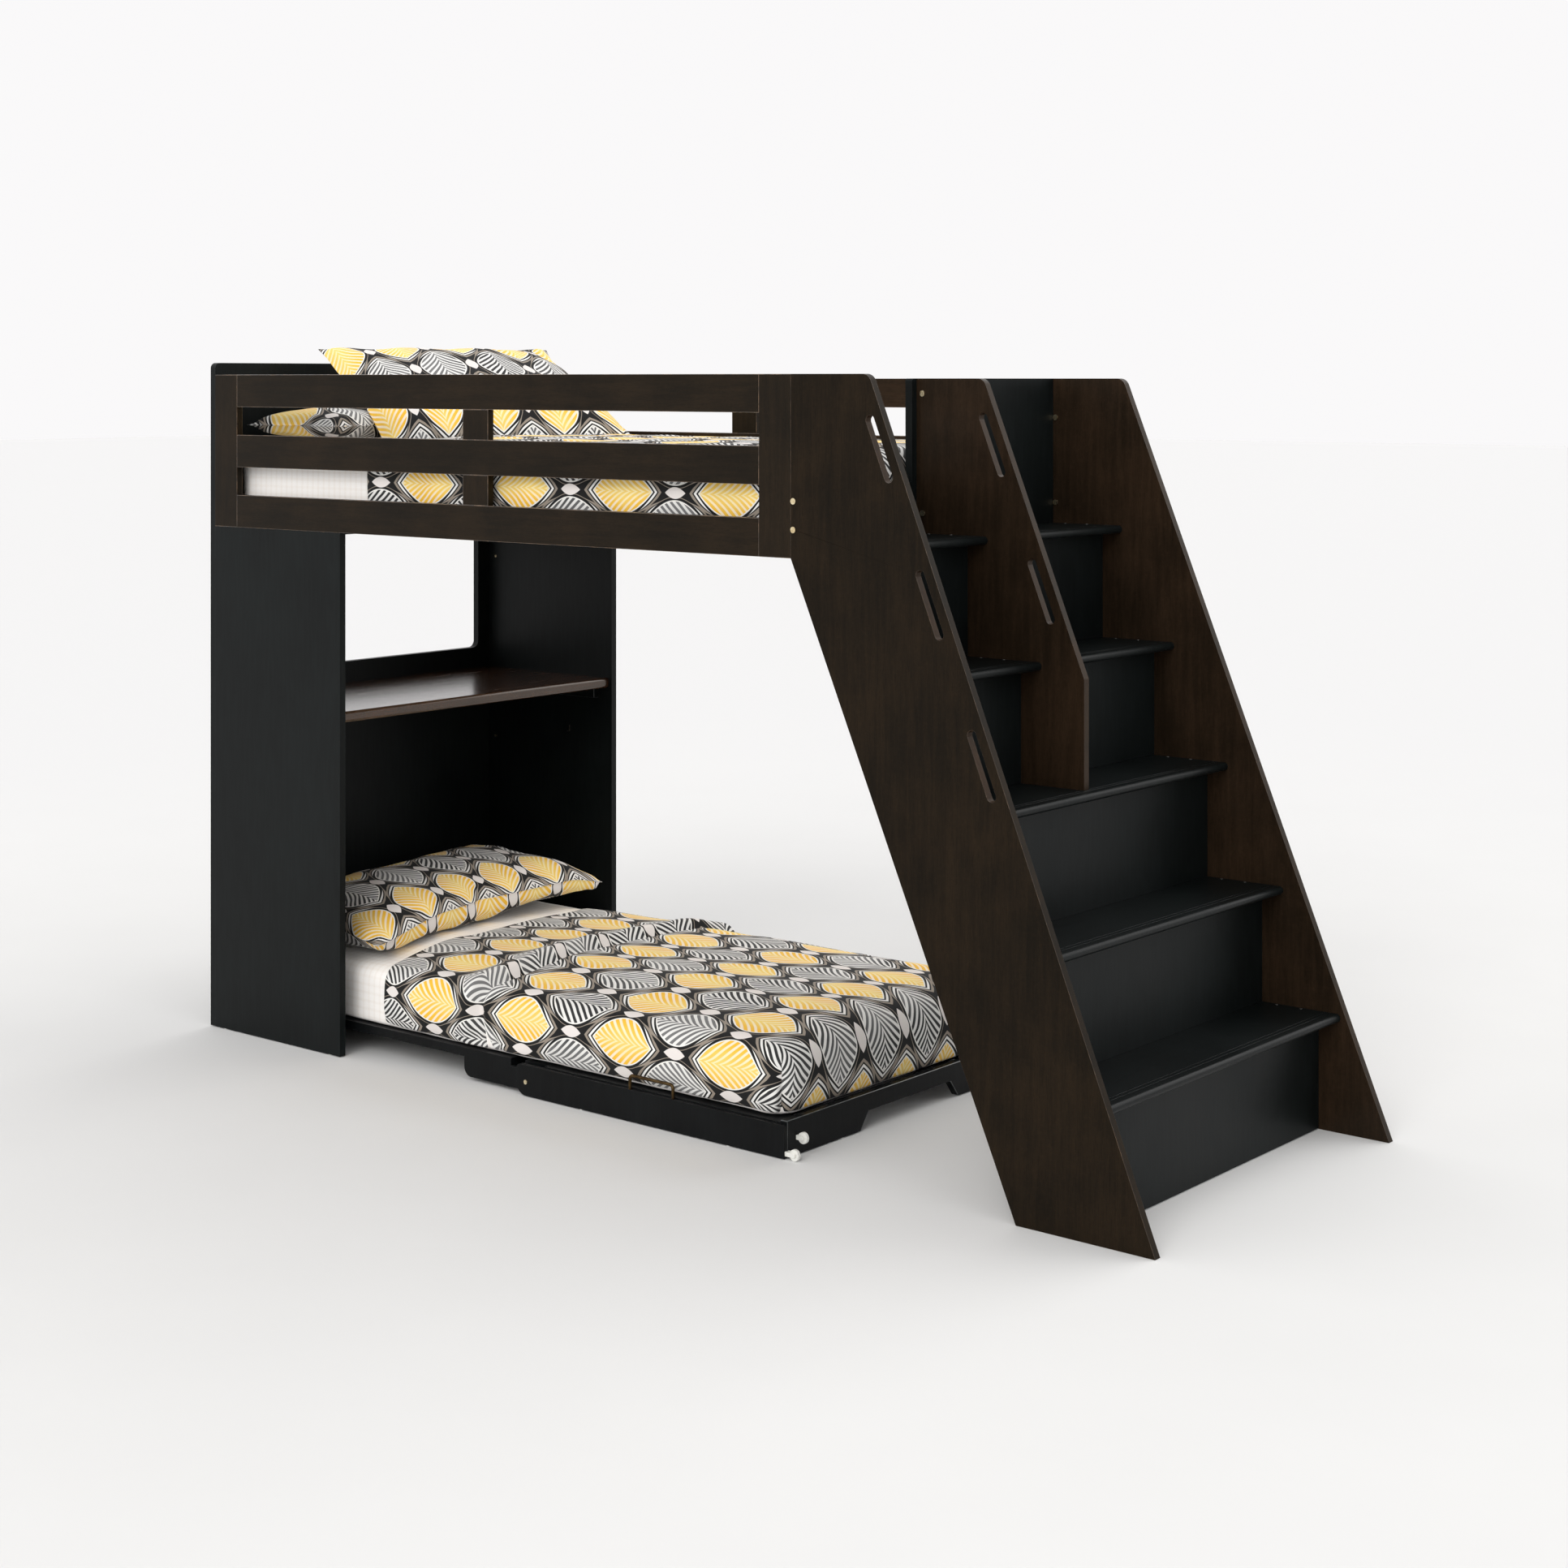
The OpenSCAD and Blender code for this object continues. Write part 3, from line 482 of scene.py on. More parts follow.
def dress_frame():
    rails = ["near_guard_%s_rail" % k for k in ("top", "middle", "bottom")]
    dress(rails, boards["x"], espresso_highlight_edge)
    stiles = ["near_guard_left_stile", "near_guard_right_stile", "far_guard_stiles"]
    dress(stiles + ["guard_middle_posts"], boards["z"], espresso_highlight_edge)
    dress(["near_stringer"], stair_wood, espresso_highlight_edge, 0.002)
    # the boards behind take the lighter copy of the stain, painted light
    dress(["far_stringer", "stair_divider"], far_stair_wood_painted_light, espresso_highlight_edge, 0.002)
    dress(["far_guard_rails"], far_rail_wood_painted_light, espresso_highlight_edge)
    panels = ["head_end_panel", "near_tower_panel", "far_tower_panel", "foot_end_panel"]
    dress(panels + ["foot_rail", "desk_cleats", "stair_cleats"], black, black_highlight_edge)
    dress(["tread_%d" % i for i in range(1, 6)], black, black_highlight_edge, 0.0008)
    dress(["riser_%d" % i for i in range(1, 6)], black)
    dress(["desk_top"], desk_wood, None, 0.002)
    dress(["slat_ledgers", "upper_slats"], pale_softwood(), None, 0.002)
    for part in ("seat", "back"):
        names = ("near_rail", "far_rail", "end_board", "slats")
        dress(["%s_%s" % (part, name) for name in names], rail_black, black_highlight_edge, 0.0018)
    brass = metal("bolt_brass", linear(236, 224, 190), linear(206, 184, 140), 0.28)
    dress(["frame_bolts", "pivot_bolts"], brass, None, 0.0004)
    antique = metal("antique_brass", linear(92, 74, 48), linear(52, 40, 26), 0.38)
    dress(["retainer_handles"], antique, None, 0)
    steel = metal("screw_steel", linear(206, 206, 204), linear(150, 150, 148), 0.3)
    dress(["tread_screws"], steel, None, 0)
    white = nylon()
    dress(["floor_glides", "back_glides", "wheel_brackets"], white, None, 0.0003)
    wheels = ["%s_wheel" % k for k in ("near_floor", "far_floor", "near_end", "far_end")]
    dress(wheels, white, None, 0)


dress_frame()


# ---- Soft shapes ----

# The bedding was measured from the frame's left near corner; these lead to the shared frame.
SHOP_X, SHOP_Y = 1.470, 0.518


def new_mesh_object(name, verts, faces, uvs, material):
    """A mesh whose UV map holds flat metres, one pair per face corner."""
    mesh = bpy.data.meshes.new(name)
    mesh.from_pydata([tuple(p) for p in verts], [], faces)
    layer = mesh.uv_layers.new(name="cloth")
    layer.data.foreach_set("uv", [c for corner in uvs for c in corner])
    mesh.materials.append(material)
    mesh.shade_smooth()
    mesh.update()
    return add_object(name, mesh)


def shift_print(obj, du, dv):
    """Slides the cloth's flat coordinates, to say where the print falls."""
    for corner in obj.data.uv_layers["cloth"].data:
        corner.uv += Vector((du, dv))


def freeze(obj):
    """Turns the modifiers of a piece into its mesh."""
    bpy.context.view_layer.update()
    ready = obj.evaluated_get(bpy.context.evaluated_depsgraph_get())
    mesh = bpy.data.meshes.new_from_object(ready)
    old = obj.data
    obj.modifiers.clear()
    obj.data = mesh
    bpy.data.meshes.remove(old)


def spread(a, b, step):
    """Places from a to b, both included, at most step apart."""
    n = max(1, math.ceil((b - a) / step - 1e-6))
    return [a + (b - a) * i / n for i in range(n + 1)]


def ease(t):
    t = min(1.0, max(0.0, t))
    return t * t * (3 - 2 * t)


def follow(points, t):
    """A smooth line through (t, value) points."""
    t = min(points[-1][0], max(points[0][0], t))
    k = next(i for i in range(len(points) - 1) if t <= points[i + 1][0])
    (t0, a), (t1, b) = points[k], points[k + 1]
    before, after = points[max(0, k - 1)], points[min(len(points) - 1, k + 2)]
    span = t1 - t0
    rise_a = (b - before[1]) / (t1 - before[0]) * span
    rise_b = (after[1] - a) / (after[0] - t0) * span
    f = (t - t0) / span
    g = 1 - f
    level = a * g * g * (1 + 2 * f) + b * f * f * (1 + 2 * g)
    return level + rise_a * f * g * g - rise_b * g * f * f


class Cover:
    """Cloth that lies over a mattress and hangs or tucks in round it.

    x0, x1, y0, y1 are the upright faces, top and bottom the heights. The plan's
    corners have plan_r, the top edge edge_r and the bottom edge low_r. An open
    head ends at x0; a closed one turns down there too. under is how far the cloth
    turns in underneath, and a capped cover goes on to a whole underside. xs are
    the places of its cross lines, when not step apart. side_scale stretches the
    print down the long sides. fan is the number of steps round a corner.
    """

    EDGE_STEPS = 6
    LOW_STEPS = 4

    def __init__(
        self, x0, x1, y0, y1, top, bottom, plan_r, edge_r, step, closed=False, under=0.0,
        low_r=0.0, xs=None, capped=False, side_scale=1.0, fan=9,
    ):
        self.x0, self.x1, self.y0, self.y1 = x0, x1, y0, y1
        self.top, self.bottom = top, bottom
        self.plan_r, self.edge_r, self.low_r = plan_r, edge_r, low_r
        self.under, self.step, self.closed, self.capped = under, step, closed, capped
        head = x0 + plan_r if closed else x0
        self.side_scale, self.fan = side_scale, fan
        self.xs = xs or spread(head, x1 - plan_r, step)
        self.ys = spread(y0 + plan_r, y1 - plan_r, step)

    def rings(self):
        """(outward, down, distance along the cloth, normal out, normal up)."""
        flat = self.plan_r - self.edge_r
        found = []
        for d in spread(0, flat, self.step)[1:] if flat > 1e-6 else []:
            found.append((d, 0.0, d, 0.0, 1.0))
        for k in range(1, self.EDGE_STEPS + 1):
            a = math.pi / 2 * k / self.EDGE_STEPS
            out, down = self.edge_r * math.sin(a), self.edge_r * (1 - math.cos(a))
            found.append((flat + out, down, flat + self.edge_r * a, math.sin(a), math.cos(a)))
        out, down, far = found[-1][:3]
        straight = self.top - self.edge_r - self.low_r - self.bottom
        for d in spread(0, straight, self.step)[1:]:
            found.append((out, down + d, far + d, 1.0, 0.0))
        out, down, far = found[-1][:3]
        if not self.low_r:
            return found
        for k in range(1, self.LOW_STEPS + 1):
            a = math.pi / 2 * k / self.LOW_STEPS
            back, drop = self.low_r * (1 - math.cos(a)), self.low_r * math.sin(a)
            found.append((out - back, down + drop, far + self.low_r * a, math.cos(a), -math.sin(a)))
        out, down, far = found[-1][:3]
        if self.capped:
            inward = spread(0, out, self.step)[1:-1]
        else:
            inward = spread(0, self.under, self.step)[1:]
        return found + [(out - d, down, far + d, 0.0, -1.0) for d in inward]

    def spokes(self):
        """(grid column, grid row, direction, share of the corner turned or None)."""
        nx, ny, fan = len(self.xs) - 1, len(self.ys) - 1, self.fan
        found = [(i, 0, Vector((0, -1)), None) for i in range(nx)]

        def corner(i, j, start):
            for k in range(fan + 1):
                a = start + math.pi / 2 * k / fan
                found.append((i, j, Vector((math.cos(a), math.sin(a))), k / fan))

        corner(nx, 0, -math.pi / 2)
        found.extend((nx, j, Vector((1, 0)), None) for j in range(1, ny))
        corner(nx, ny, 0.0)
        found.extend((i, ny, Vector((0, 1)), None) for i in range(nx - 1, 0, -1))
        if self.closed:
            corner(0, ny, math.pi / 2)
            found.extend((0, j, Vector((-1, 0)), None) for j in range(ny - 1, 0, -1))
            corner(0, 0, math.pi)
            found = found[1:]
        else:
            found.append((0, ny, Vector((0, 1)), None))
        return found

    def uv(self, spoke, ring, second):
        """Flat coordinates at a ring, for the first or second side of a corner."""
        i, j, way, turn = spoke
        base = Vector((self.xs[i], self.ys[j]))
        out, _, far = ring[:3]
        turned = self.plan_r - self.edge_r + self.edge_r * math.pi / 2
        reach = far + max(0.0, far - turned) * (self.side_scale - 1) * abs(way.y)
        whole = base + way * reach
        if turn is None:
            return whole
        start = Matrix.Rotation(-math.pi / 2 * turn, 2) @ way
        end = Matrix.Rotation(math.pi / 2, 2) @ start
        if second:
            sided = base + end * far + start * out * (math.pi / 2) * (1 - turn)
        else:
            reach = far + max(0.0, far - turned) * (self.side_scale - 1)
            sided = base + start * reach + end * out * (math.pi / 2) * turn
        # the print fans out round the corner above, and runs on from the sides below
        share = ease((far - self.plan_r * 0.9) / 0.07)
        return whole.lerp(sided, share)

    def build(self, name, material, shape):
        """shape(point, normal, far, flat) moves each point.

        far is how far the cloth has run beyond its flat grid, and flat is where the
        point would lie if the cloth were spread out.
        """
        nx, ny = len(self.xs), len(self.ys)
        verts, faces, uvs = [], [], []

        def grid(i, j):
            return i * ny + j

        def add_flat(z, up, far):
            low = len(verts)
            for x in self.xs:
                for y in self.ys:
                    verts.append(shape(Vector((x, y, z)), Vector((0, 0, up)), far, Vector((x, y))))
            for i in range(nx - 1):
                for j in range(ny - 1):
                    quad = [(i, j), (i + 1, j), (i + 1, j + 1), (i, j + 1)]
                    if up < 0:
                        quad[1:] = quad[:0:-1]
                    faces.append([low + grid(a, b) for a, b in quad])
                    uvs.extend((self.xs[a], self.ys[b]) for a, b in quad)
            return low

        add_flat(self.top, 1, 0.0)
        rings, spokes = self.rings(), self.spokes()
        first = len(verts)
        for i, j, way, _ in spokes:
            base = Vector((self.xs[i], self.ys[j]))
            for out, down, far, n_out, n_up in rings:
                flat = base + way * out
                point = Vector((flat.x, flat.y, self.top - down))
                normal = Vector((way.x * n_out, way.y * n_out, n_up))
                verts.append(shape(point, normal, far, base + way * far))
        count = len(spokes)
        for s in range(count if self.closed else count - 1):
            t = (s + 1) % count
            a, b = spokes[s], spokes[t]
            same = a[:2] == b[:2]  # only the spokes of one corner share a place
            half = same and (a[3] + b[3]) / 2 > 0.5
            ia, ib = first + s * len(rings), first + t * len(rings)

            def flat_uv(spoke, ring):
                return self.uv(spoke, ring, half if same else (spoke[3] or 0) > 0.5)

            faces.append([grid(*a[:2]), ia, ib])
            uvs.append((self.xs[a[0]], self.ys[a[1]]))
            uvs.extend([flat_uv(a, rings[0]), flat_uv(b, rings[0])])
            if not same:
                faces[-1].append(grid(*b[:2]))
                uvs.append((self.xs[b[0]], self.ys[b[1]]))
            for k in range(len(rings) - 1):
                faces.append([ia + k, ia + k + 1, ib + k + 1, ib + k])
                uvs.extend([flat_uv(a, rings[k]), flat_uv(a, rings[k + 1])])
                uvs.extend([flat_uv(b, rings[k + 1]), flat_uv(b, rings[k])])
        if self.capped:
            low = add_flat(self.bottom, -1, rings[-1][2])
            for s in range(count):
                t = (s + 1) % count
                a, b = spokes[s], spokes[t]
                loop = [first + (s + 1) * len(rings) - 1, low + grid(*a[:2])]
                if a[:2] != b[:2]:
                    loop.append(low + grid(*b[:2]))
                faces.append(loop + [first + (t + 1) * len(rings) - 1])
                uvs.extend((verts[f].x, verts[f].y) for f in faces[-1])
        return new_mesh_object(name, verts, faces, uvs, material)


def ripple(p, size, height, seed):
    """Smooth unevenness of about the size and height given."""
    place = Vector((p.x / size + seed, p.y / size - seed, p.z / size + 2 * seed))
    return height * noise.noise(place)


def join_box(*nodes):
    """The box round several CAD pieces."""
    boxes = [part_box(n) for n in nodes]
    low = [min(b[0][k] for b in boxes) for k in range(3)]
    high = [max(b[1][k] for b in boxes) for k in range(3)]
    return low, high


def smooth(obj, thickness=0.0):
    """Thickens a cloth inwards, divides its faces in four and keeps the result."""
    if thickness:
        obj.modifiers.new("thickness", "SOLIDIFY").thickness = thickness
    mod = obj.modifiers.new("smooth", "SUBSURF")
    mod.levels = mod.render_levels = 1
    freeze(obj)
    return obj


BED_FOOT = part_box("back_comforter")[1][0]
INSIDE_SHEET = 0.004  # how far a mattress's sides stand inside its box


def mattress(name, box, sink, step, height, seed, rise=None):
    low, high = box
    cover = Cover(
        low[0] + INSIDE_SHEET, high[0] - INSIDE_SHEET, low[1] + INSIDE_SHEET,
        high[1] - INSIDE_SHEET, high[2] - sink, low[2],
        0.06, 0.035, step, closed=True, low_r=0.02, capped=True,
    )

    def shape(p, n, far, flat):
        lift = rise(p.x, p.y) * ease(n.z) if rise else 0.0
        return p + n * ripple(p, 0.3, height, seed) + Vector((0, 0, lift))

    return smooth(cover.build(name, mattress_cloth, shape))


def lower_mattress():
    box = join_box("seat_mattress", "back_mattress")
    return mattress("lower_mattress", box, 0.041, 0.022, 0.0015, 3.0, bed_crown)


def upper_mattress():
    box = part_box("upper_mattress")
    return mattress("upper_mattress_core", box, 0.003, 0.03, 0.002, 5.0)


def fitted_sheet(name, nodes, seed, height, rise=None):
    """An elastic sheet pulled over a mattress and turned in below it."""
    low, high = join_box(*nodes)
    cover = Cover(
        low[0], high[0], low[1], high[1], high[2] + height, low[2] + 0.001,
        0.062, 0.037, 0.016, closed=True, under=0.05, low_r=0.012,
    )

    def shape(p, n, far, flat):
        side = 1 - abs(n.z)
        tug = ripple(p, 0.16, 0.0022, seed) + ripple(p, 0.055, 0.0009, seed + 4)
        # slight gathers near the elastic hem
        low_part = ease((cover.top - p.z - 0.08) / 0.1) * side
        tug += low_part * 0.0016 * math.sin((flat.x + flat.y) * 210 + 4 * noise.noise(p * 9))
        lift = rise(p.x, p.y) * ease(n.z) if rise else 0.0
        return p + n * (tug - 0.001) + Vector((0, 0, lift))

    return smooth(cover.build(name, sheet_cloth, shape), 0.0012)


# The ridge where the comforter bunches up before the fold: (y, x) as measured
RIDGE = [
    (-0.07, 0.982), (0.0, 0.956), (0.07, 0.955), (0.16, 0.966), (0.27, 0.969), (0.42, 0.966),
    (0.567, 0.962), (0.75, 0.984), (0.94, 1.02), (1.1, 1.035),
]
RIDGE_X = 0.97  # about its middle
FINE_FROM, FINE_TO = -0.56, -0.45  # where the cross lines lie close enough to draw it
FINE_STEP = 0.0035


def bell(x, centre, width):
    return math.exp(-(((x - centre) / width) ** 2))


def ridge_profile(s):
    """The bunched ridge: rounded towards the head, undercut towards the foot."""
    crest = bell(s, -0.010, 0.055 if s < -0.010 else 0.014)
    return crest - 0.65 * bell(s, 0.018, 0.012)


def ridge_slack():
    """(s, cloth taken up by the ridge between s and its foot side)."""
    places = spread(-0.16, 0.06, 0.002)
    found, taken = [(places[-1], 0.0)], 0.0
    for a, b in reversed(list(zip(places, places[1:]))):
        rise = 0.02 * (ridge_profile(b) - ridge_profile(a))
        taken += math.hypot(b - a, rise) - (b - a)
        found.append((a, -taken))
    return found[::-1]


SLACK = ridge_slack()


def along_ridge(x, y):
    """How far the cloth's cross lines are slid, so that they run along the ridge."""
    slide = follow(RIDGE, y + SHOP_Y) - RIDGE_X
    return slide * ease((0.26 - abs(x - (RIDGE_X - SHOP_X))) / 0.21)


def bed_crown(x, y):
    """The lower bedding is fullest along its middle and low along its sides."""
    shop_y = y + SHOP_Y
    sides = ease((shop_y - 0.065) / 0.28) * ease((0.972 - shop_y) / 0.17)
    foot = 0.3 + 0.7 * ease((BED_FOOT - x) / 0.11)
    return 0.031 * sides * foot


def lower_comforter():
    low, high = join_box("seat_comforter", "back_comforter")
    corner_r = 0.07
    head, foot = 0.600 - SHOP_X, high[0] - 0.002
    xs = spread(head, FINE_FROM, 0.014) + spread(FINE_FROM, FINE_TO, FINE_STEP)[1:]
    xs += spread(FINE_TO, high[0] - corner_r, 0.014)[1:]
    cover = Cover(
        head, foot, low[1] + 0.001, high[1] - 0.001, high[2] - 0.047, low[2] + 0.002,
        corner_r, 0.046, 0.012, xs=xs, side_scale=1.17, fan=20,
    )
    mid = (cover.y0 + cover.y1) / 2

    def shape(p, n, far, flat):
        p = p + Vector((along_ridge(p.x, flat.y), 0, 0))
        shop_x, across = p.x + SHOP_X, flat.y + SHOP_Y
        from_ridge = shop_x - follow(RIDGE, across)
        side = 1 - abs(n.z)
        near = p.y < mid
        push = ripple(p, 0.23, 0.005, 1.0) + ripple(p, 0.085, 0.0022, 7.0)
        fade = ease((far - 0.05) / 0.06) if p.x < cover.x1 - 0.075 else 0.0
        tall = (0.022 if near else 0.018) * (1 - 0.25 * fade)
        push += tall * ridge_profile(from_ridge)
        # small crinkles beside the ridge, low on the near side
        if near and side > 0.2:
            local = bell(from_ridge, 0.03, 0.07) * side * ease((0.2 - p.z) / 0.08)
            waves = 230 * (p.x * 0.8 + p.z * 0.7) + 3 * noise.noise(p * 14)
            push += local * 0.0045 * math.sin(waves)
        # the sides swell a little and pull in at the tuck
        down = cover.top - p.z
        push += side * 0.005 * math.sin(math.pi * min(1, max(0, (down - 0.02) / 0.13)))
        push -= side * 0.007 * ease((down - 0.105) / 0.045)
        # soft hanging folds along the sides
        push += side * 0.0022 * math.sin(flat.x * 31 + 2.5 * noise.noise(p * 5)) * ease(down / 0.1)
        # by the pivot the sides stay inside the rails' faces, also when the back is up
        pivot = ease((shop_x - 0.92) / 0.05) * ease((1.2 - shop_x) / 0.04)
        low_zone = ease((0.145 + 0.085 * ease((shop_x - 0.96) / 0.07) - p.z) / 0.035)
        push -= side * pivot * low_zone * max(0.0, push + 0.002)
        q = p + n * push + Vector((0, 0, bed_crown(p.x, p.y) * ease(n.z)))
        # the pleat at the foot's corners: the near side's cloth laps over the foot's
        pivot_y = cover.y0 + corner_r if near else cover.y1 - corner_r
        turn = math.atan2(abs(p.y - pivot_y), p.x - (cover.x1 - corner_r))
        at_corner = p.x > cover.x1 - 0.08 and not cover.y0 + 0.08 <= p.y <= cover.y1 - 0.08
        if side > 0.5 and at_corner:
            hang = ease((down - 0.035) / 0.08)
            q += n * (0.006 * hang * bell(turn, 0.98, 0.16))
            q -= n * (0.012 * hang * bell(turn, 0.74, 0.07))
        # the head edge lies down on the sheet, a little uneven
        edge = ease(1 - (p.x - cover.x0) / 0.10)
        corner_back = 0.014 * (1 - ease((across - 0.04) / 0.13))
        q.x += (corner_back + 0.005 * math.sin(across * 15 + 1.0)) * edge
        return q - n * 0.004 * edge

    obj = cover.build("lower_comforter", print_cloth, shape)
    for corner in obj.data.uv_layers["cloth"].data:
        u, v = corner.uv
        u += along_ridge(u, v)
        corner.uv.x = u + follow(SLACK, u + SHOP_X - follow(RIDGE, v + SHOP_Y))
    shift_print(obj, 0.350, 0.500)
    return smooth(obj, 0.007)


def upper_comforter():
    low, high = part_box("upper_comforter")
    cover = Cover(
        low[0] + 0.037, high[0] - 0.001, low[1] + 0.001, high[1] - 0.001, high[2] - 0.008,
        low[2] + 0.002, 0.07, 0.045, 0.016, side_scale=1.17,
    )

    def swell(p):
        """The top is fullest in the middle and dies away towards the sides."""
        head = cover.x0 - 0.3
        tx = abs(2 * (p.x - head) / (cover.x1 - head) - 1)
        ty = abs(2 * (p.y - cover.y0) / (cover.y1 - cover.y0) - 1)
        return 0.016 * max(0.0, 1 - min(1, tx) ** 8) * max(0.0, 1 - min(1, ty) ** 3)

    def shape(p, n, far, flat):
        side = 1 - abs(n.z)
        push = ripple(p, 0.2, 0.005, 11.0) + ripple(p, 0.075, 0.002, 17.0) - 0.003
        push += side * 0.003 * math.sin(flat.x * 38 + 3 * noise.noise(p * 4))
        q = p + n * push + Vector((0, 0, swell(p) if n.z > 0.4 else 0))
        q.x += 0.006 * math.sin(flat.y * 14) * ease(1 - (p.x - cover.x0) / 0.1)
        return q

    obj = cover.build("upper_comforter_quilt", print_cloth, shape)
    shift_print(obj, 0.330, 0.5716)
    return smooth(obj, 0.008)


def shelf_stop():
    """The little angle stop screwed inside the far tower panel, below the desk."""
    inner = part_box("far_tower_panel")[0].y
    centre = Vector((0.3555 - SHOP_X, inner, 0.725))
    upright = (0.004, 0.0016, 0.018), (0, -0.0008, 0)
    ledge = (0.004, 0.009, 0.0016), (0, -0.0045, -0.0082)
    bm = bmesh.new()
    for size, offset in (upright, ledge):
        for v in bmesh.ops.create_cube(bm, size=1.0)["verts"]:
            v.co = Vector([v.co[k] * size[k] for k in range(3)]) + Vector(offset)
    head = bmesh.ops.create_uvsphere(bm, u_segments=12, v_segments=6, radius=0.0017)["verts"]
    for v in head:
        v.co = Vector((v.co.x, v.co.y * 0.5 - 0.0017, v.co.z + 0.003))
    for v in bm.verts:
        v.co += centre
    mesh = bpy.data.meshes.new("shelf_stop")
    bm.to_mesh(mesh)
    bm.free()
    mesh.materials.append(metal("stop_steel", linear(150, 146, 136), linear(110, 104, 94), 0.35))
    obj = add_object("shelf_stop", mesh)
    bevel = obj.modifiers.new("bevel", "BEVEL")
    bevel.width = 0.0003
    bevel.segments = 2
    freeze(obj)
    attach(obj, "loft")


shelf_stop()


# ---- Pillows ----

PILLOW_STEP = 0.018
SEAM_LIP = 0.009
PRESSURE = 5.0
SETTLE_FRAMES = 22


def pillow_mesh(name, width, length, lift, under_shift):
    """Two flat panels sewn round the edge, with a narrow lip outside the seam.

    under_shift slides the lower panel's print.
    """

    def ruled(size):
        inner = spread(-size / 2 + SEAM_LIP, size / 2 - SEAM_LIP, PILLOW_STEP)
        return [-size / 2] + inner + [size / 2]

    us, vs = ruled(width), ruled(length)
    verts, params, faces, uvs, index = [], [], [], [], {}
    for side in (1, -1):
        for i, u in enumerate(us):
            for j, v in enumerate(vs):
                edge = i in (0, len(us) - 1) or j in (0, len(vs) - 1)
                if edge and side < 0:
                    index[side, i, j] = index[1, i, j]
                    continue
                tu, tv = 2 * u / width, 2 * v / length
                index[side, i, j] = len(verts)
                verts.append((u, v, side * lift * math.sqrt(max(0, (1 - tu**2) * (1 - tv**2)))))
                params.append((tu, tv, 0 if edge else side))
    for side in (1, -1):
        for i in range(len(us) - 1):
            for j in range(len(vs) - 1):
                quad = [(i, j), (i + 1, j), (i + 1, j + 1), (i, j + 1)]
                if side < 0:
                    quad.reverse()
                faces.append([index[side, a, b] for a, b in quad])
                du, dv = (0.0, 0.0) if side > 0 else under_shift
                uvs.extend((us[a] + du, vs[b] + dv) for a, b in quad)
    return new_mesh_object(name, verts, faces, uvs, print_cloth), params


def inflate(obj):
    """Blows a sewn case up with the cloth solver and keeps the result."""
    mod = obj.modifiers.new("Cloth", "CLOTH")
    s = mod.settings
    s.quality = 6
    s.mass = 0.25
    s.tension_stiffness = s.compression_stiffness = 18
    s.shear_stiffness = 4
    s.bending_stiffness = 0.3
    s.use_pressure = True
    s.uniform_pressure_force = PRESSURE
    s.effector_weights.gravity = 0
    mod.collision_settings.use_collision = False
    mod.point_cache.frame_start = 1
    mod.point_cache.frame_end = SETTLE_FRAMES
    scene = bpy.context.scene
    for f in range(1, SETTLE_FRAMES + 1):
        scene.frame_set(f)
    freeze(obj)
    scene.frame_set(1)


def pillow(name, size, place, square=0.6, print_at=(0.0, 0.0), under_shift=(0.0, 0.0), full=1.0):
    """A stuffed pillow of the size given (across, along, thick).

    place(point, tu, tv, side) lays each point down: tu and tv run from -1 to 1 across
    and along, and side is 1 above, -1 below and 0 at the seam. square says how far the
    corners stay out; less full is flatter on top.
    """
    width, length, thick = size
    lift = 0.03
    obj, params = pillow_mesh(name, width * 1.06, length * 1.04, lift, under_shift)
    shift_print(obj, *print_at)
    inflate(obj)
    points = [v.co.copy() for v in obj.data.vertices]
    top = max(abs(p.z) for p in points)
    for vertex, p, (tu, tv, side) in zip(obj.data.vertices, points, params):
        flat = Vector((tu * width / 2, tv * length / 2))
        x = p.x * (1 - square) + flat.x * square
        y = p.y * (1 - square) + flat.y * square
        # the edges pull in a little between the corners
        x -= math.copysign(0.016 * tu**2 * (1 - tv**2), tu)
        y -= math.copysign(0.018 * tv**2 * (1 - tu**2), tv)
        rim = min((1 - abs(tu)) * width / 2, (1 - abs(tv)) * length / 2)
        z = math.copysign((abs(p.z) / top) ** full, p.z) * thick / 2
        z *= 0.12 if rim < 0.012 else 1.0
        q = Vector((x, y, z))
        lump = ripple(q, 0.13, 0.009, 2.0) + ripple(q, 0.055, 0.003, 8.0)
        # creases that run in from the corners
        corner = max(0.0, abs(tu) + abs(tv) - 1.15)
        across = math.atan2((1 - abs(tu)) * width, (1 - abs(tv)) * length)
        lump += corner * 0.006 * math.sin(across * 16)
        q.z += side * (lump * ease(rim / 0.05))
        vertex.co = place(q, tu, tv, side)
    obj.data.update()
    return smooth(obj)


def lower_pillow():
    low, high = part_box("seat_pillow")
    width, length = high[0] - low[0], high[1] - low[1]
    centre = (low + high) / 2
    rest = join_box("seat_mattress")[1][2] - 0.036 + 0.006

    def place(p, tu, tv, side):
        floor = rest + bed_crown(centre.x + p.x, centre.y + p.y)
        # the seam lies higher towards the far end
        seam = floor + 0.078 - 0.012 * tu + 0.017 * tv
        z = seam + p.z * (0.85 if side > 0 else 1.35)
        x, y = centre.x + p.x, centre.y + p.y - 0.012 * ease(tv)
        if side < 0:
            # the lower panel bulges out in front of the seam
            x += 0.022 * ease(abs(p.z) / 0.03) * tu
        return Vector((x, y, max(z, floor)))

    return pillow(
        "lower_pillow", (width, length, 0.150), place, 0.55, (0.167, 0.063), (-0.085, 0.083), 0.72
    )


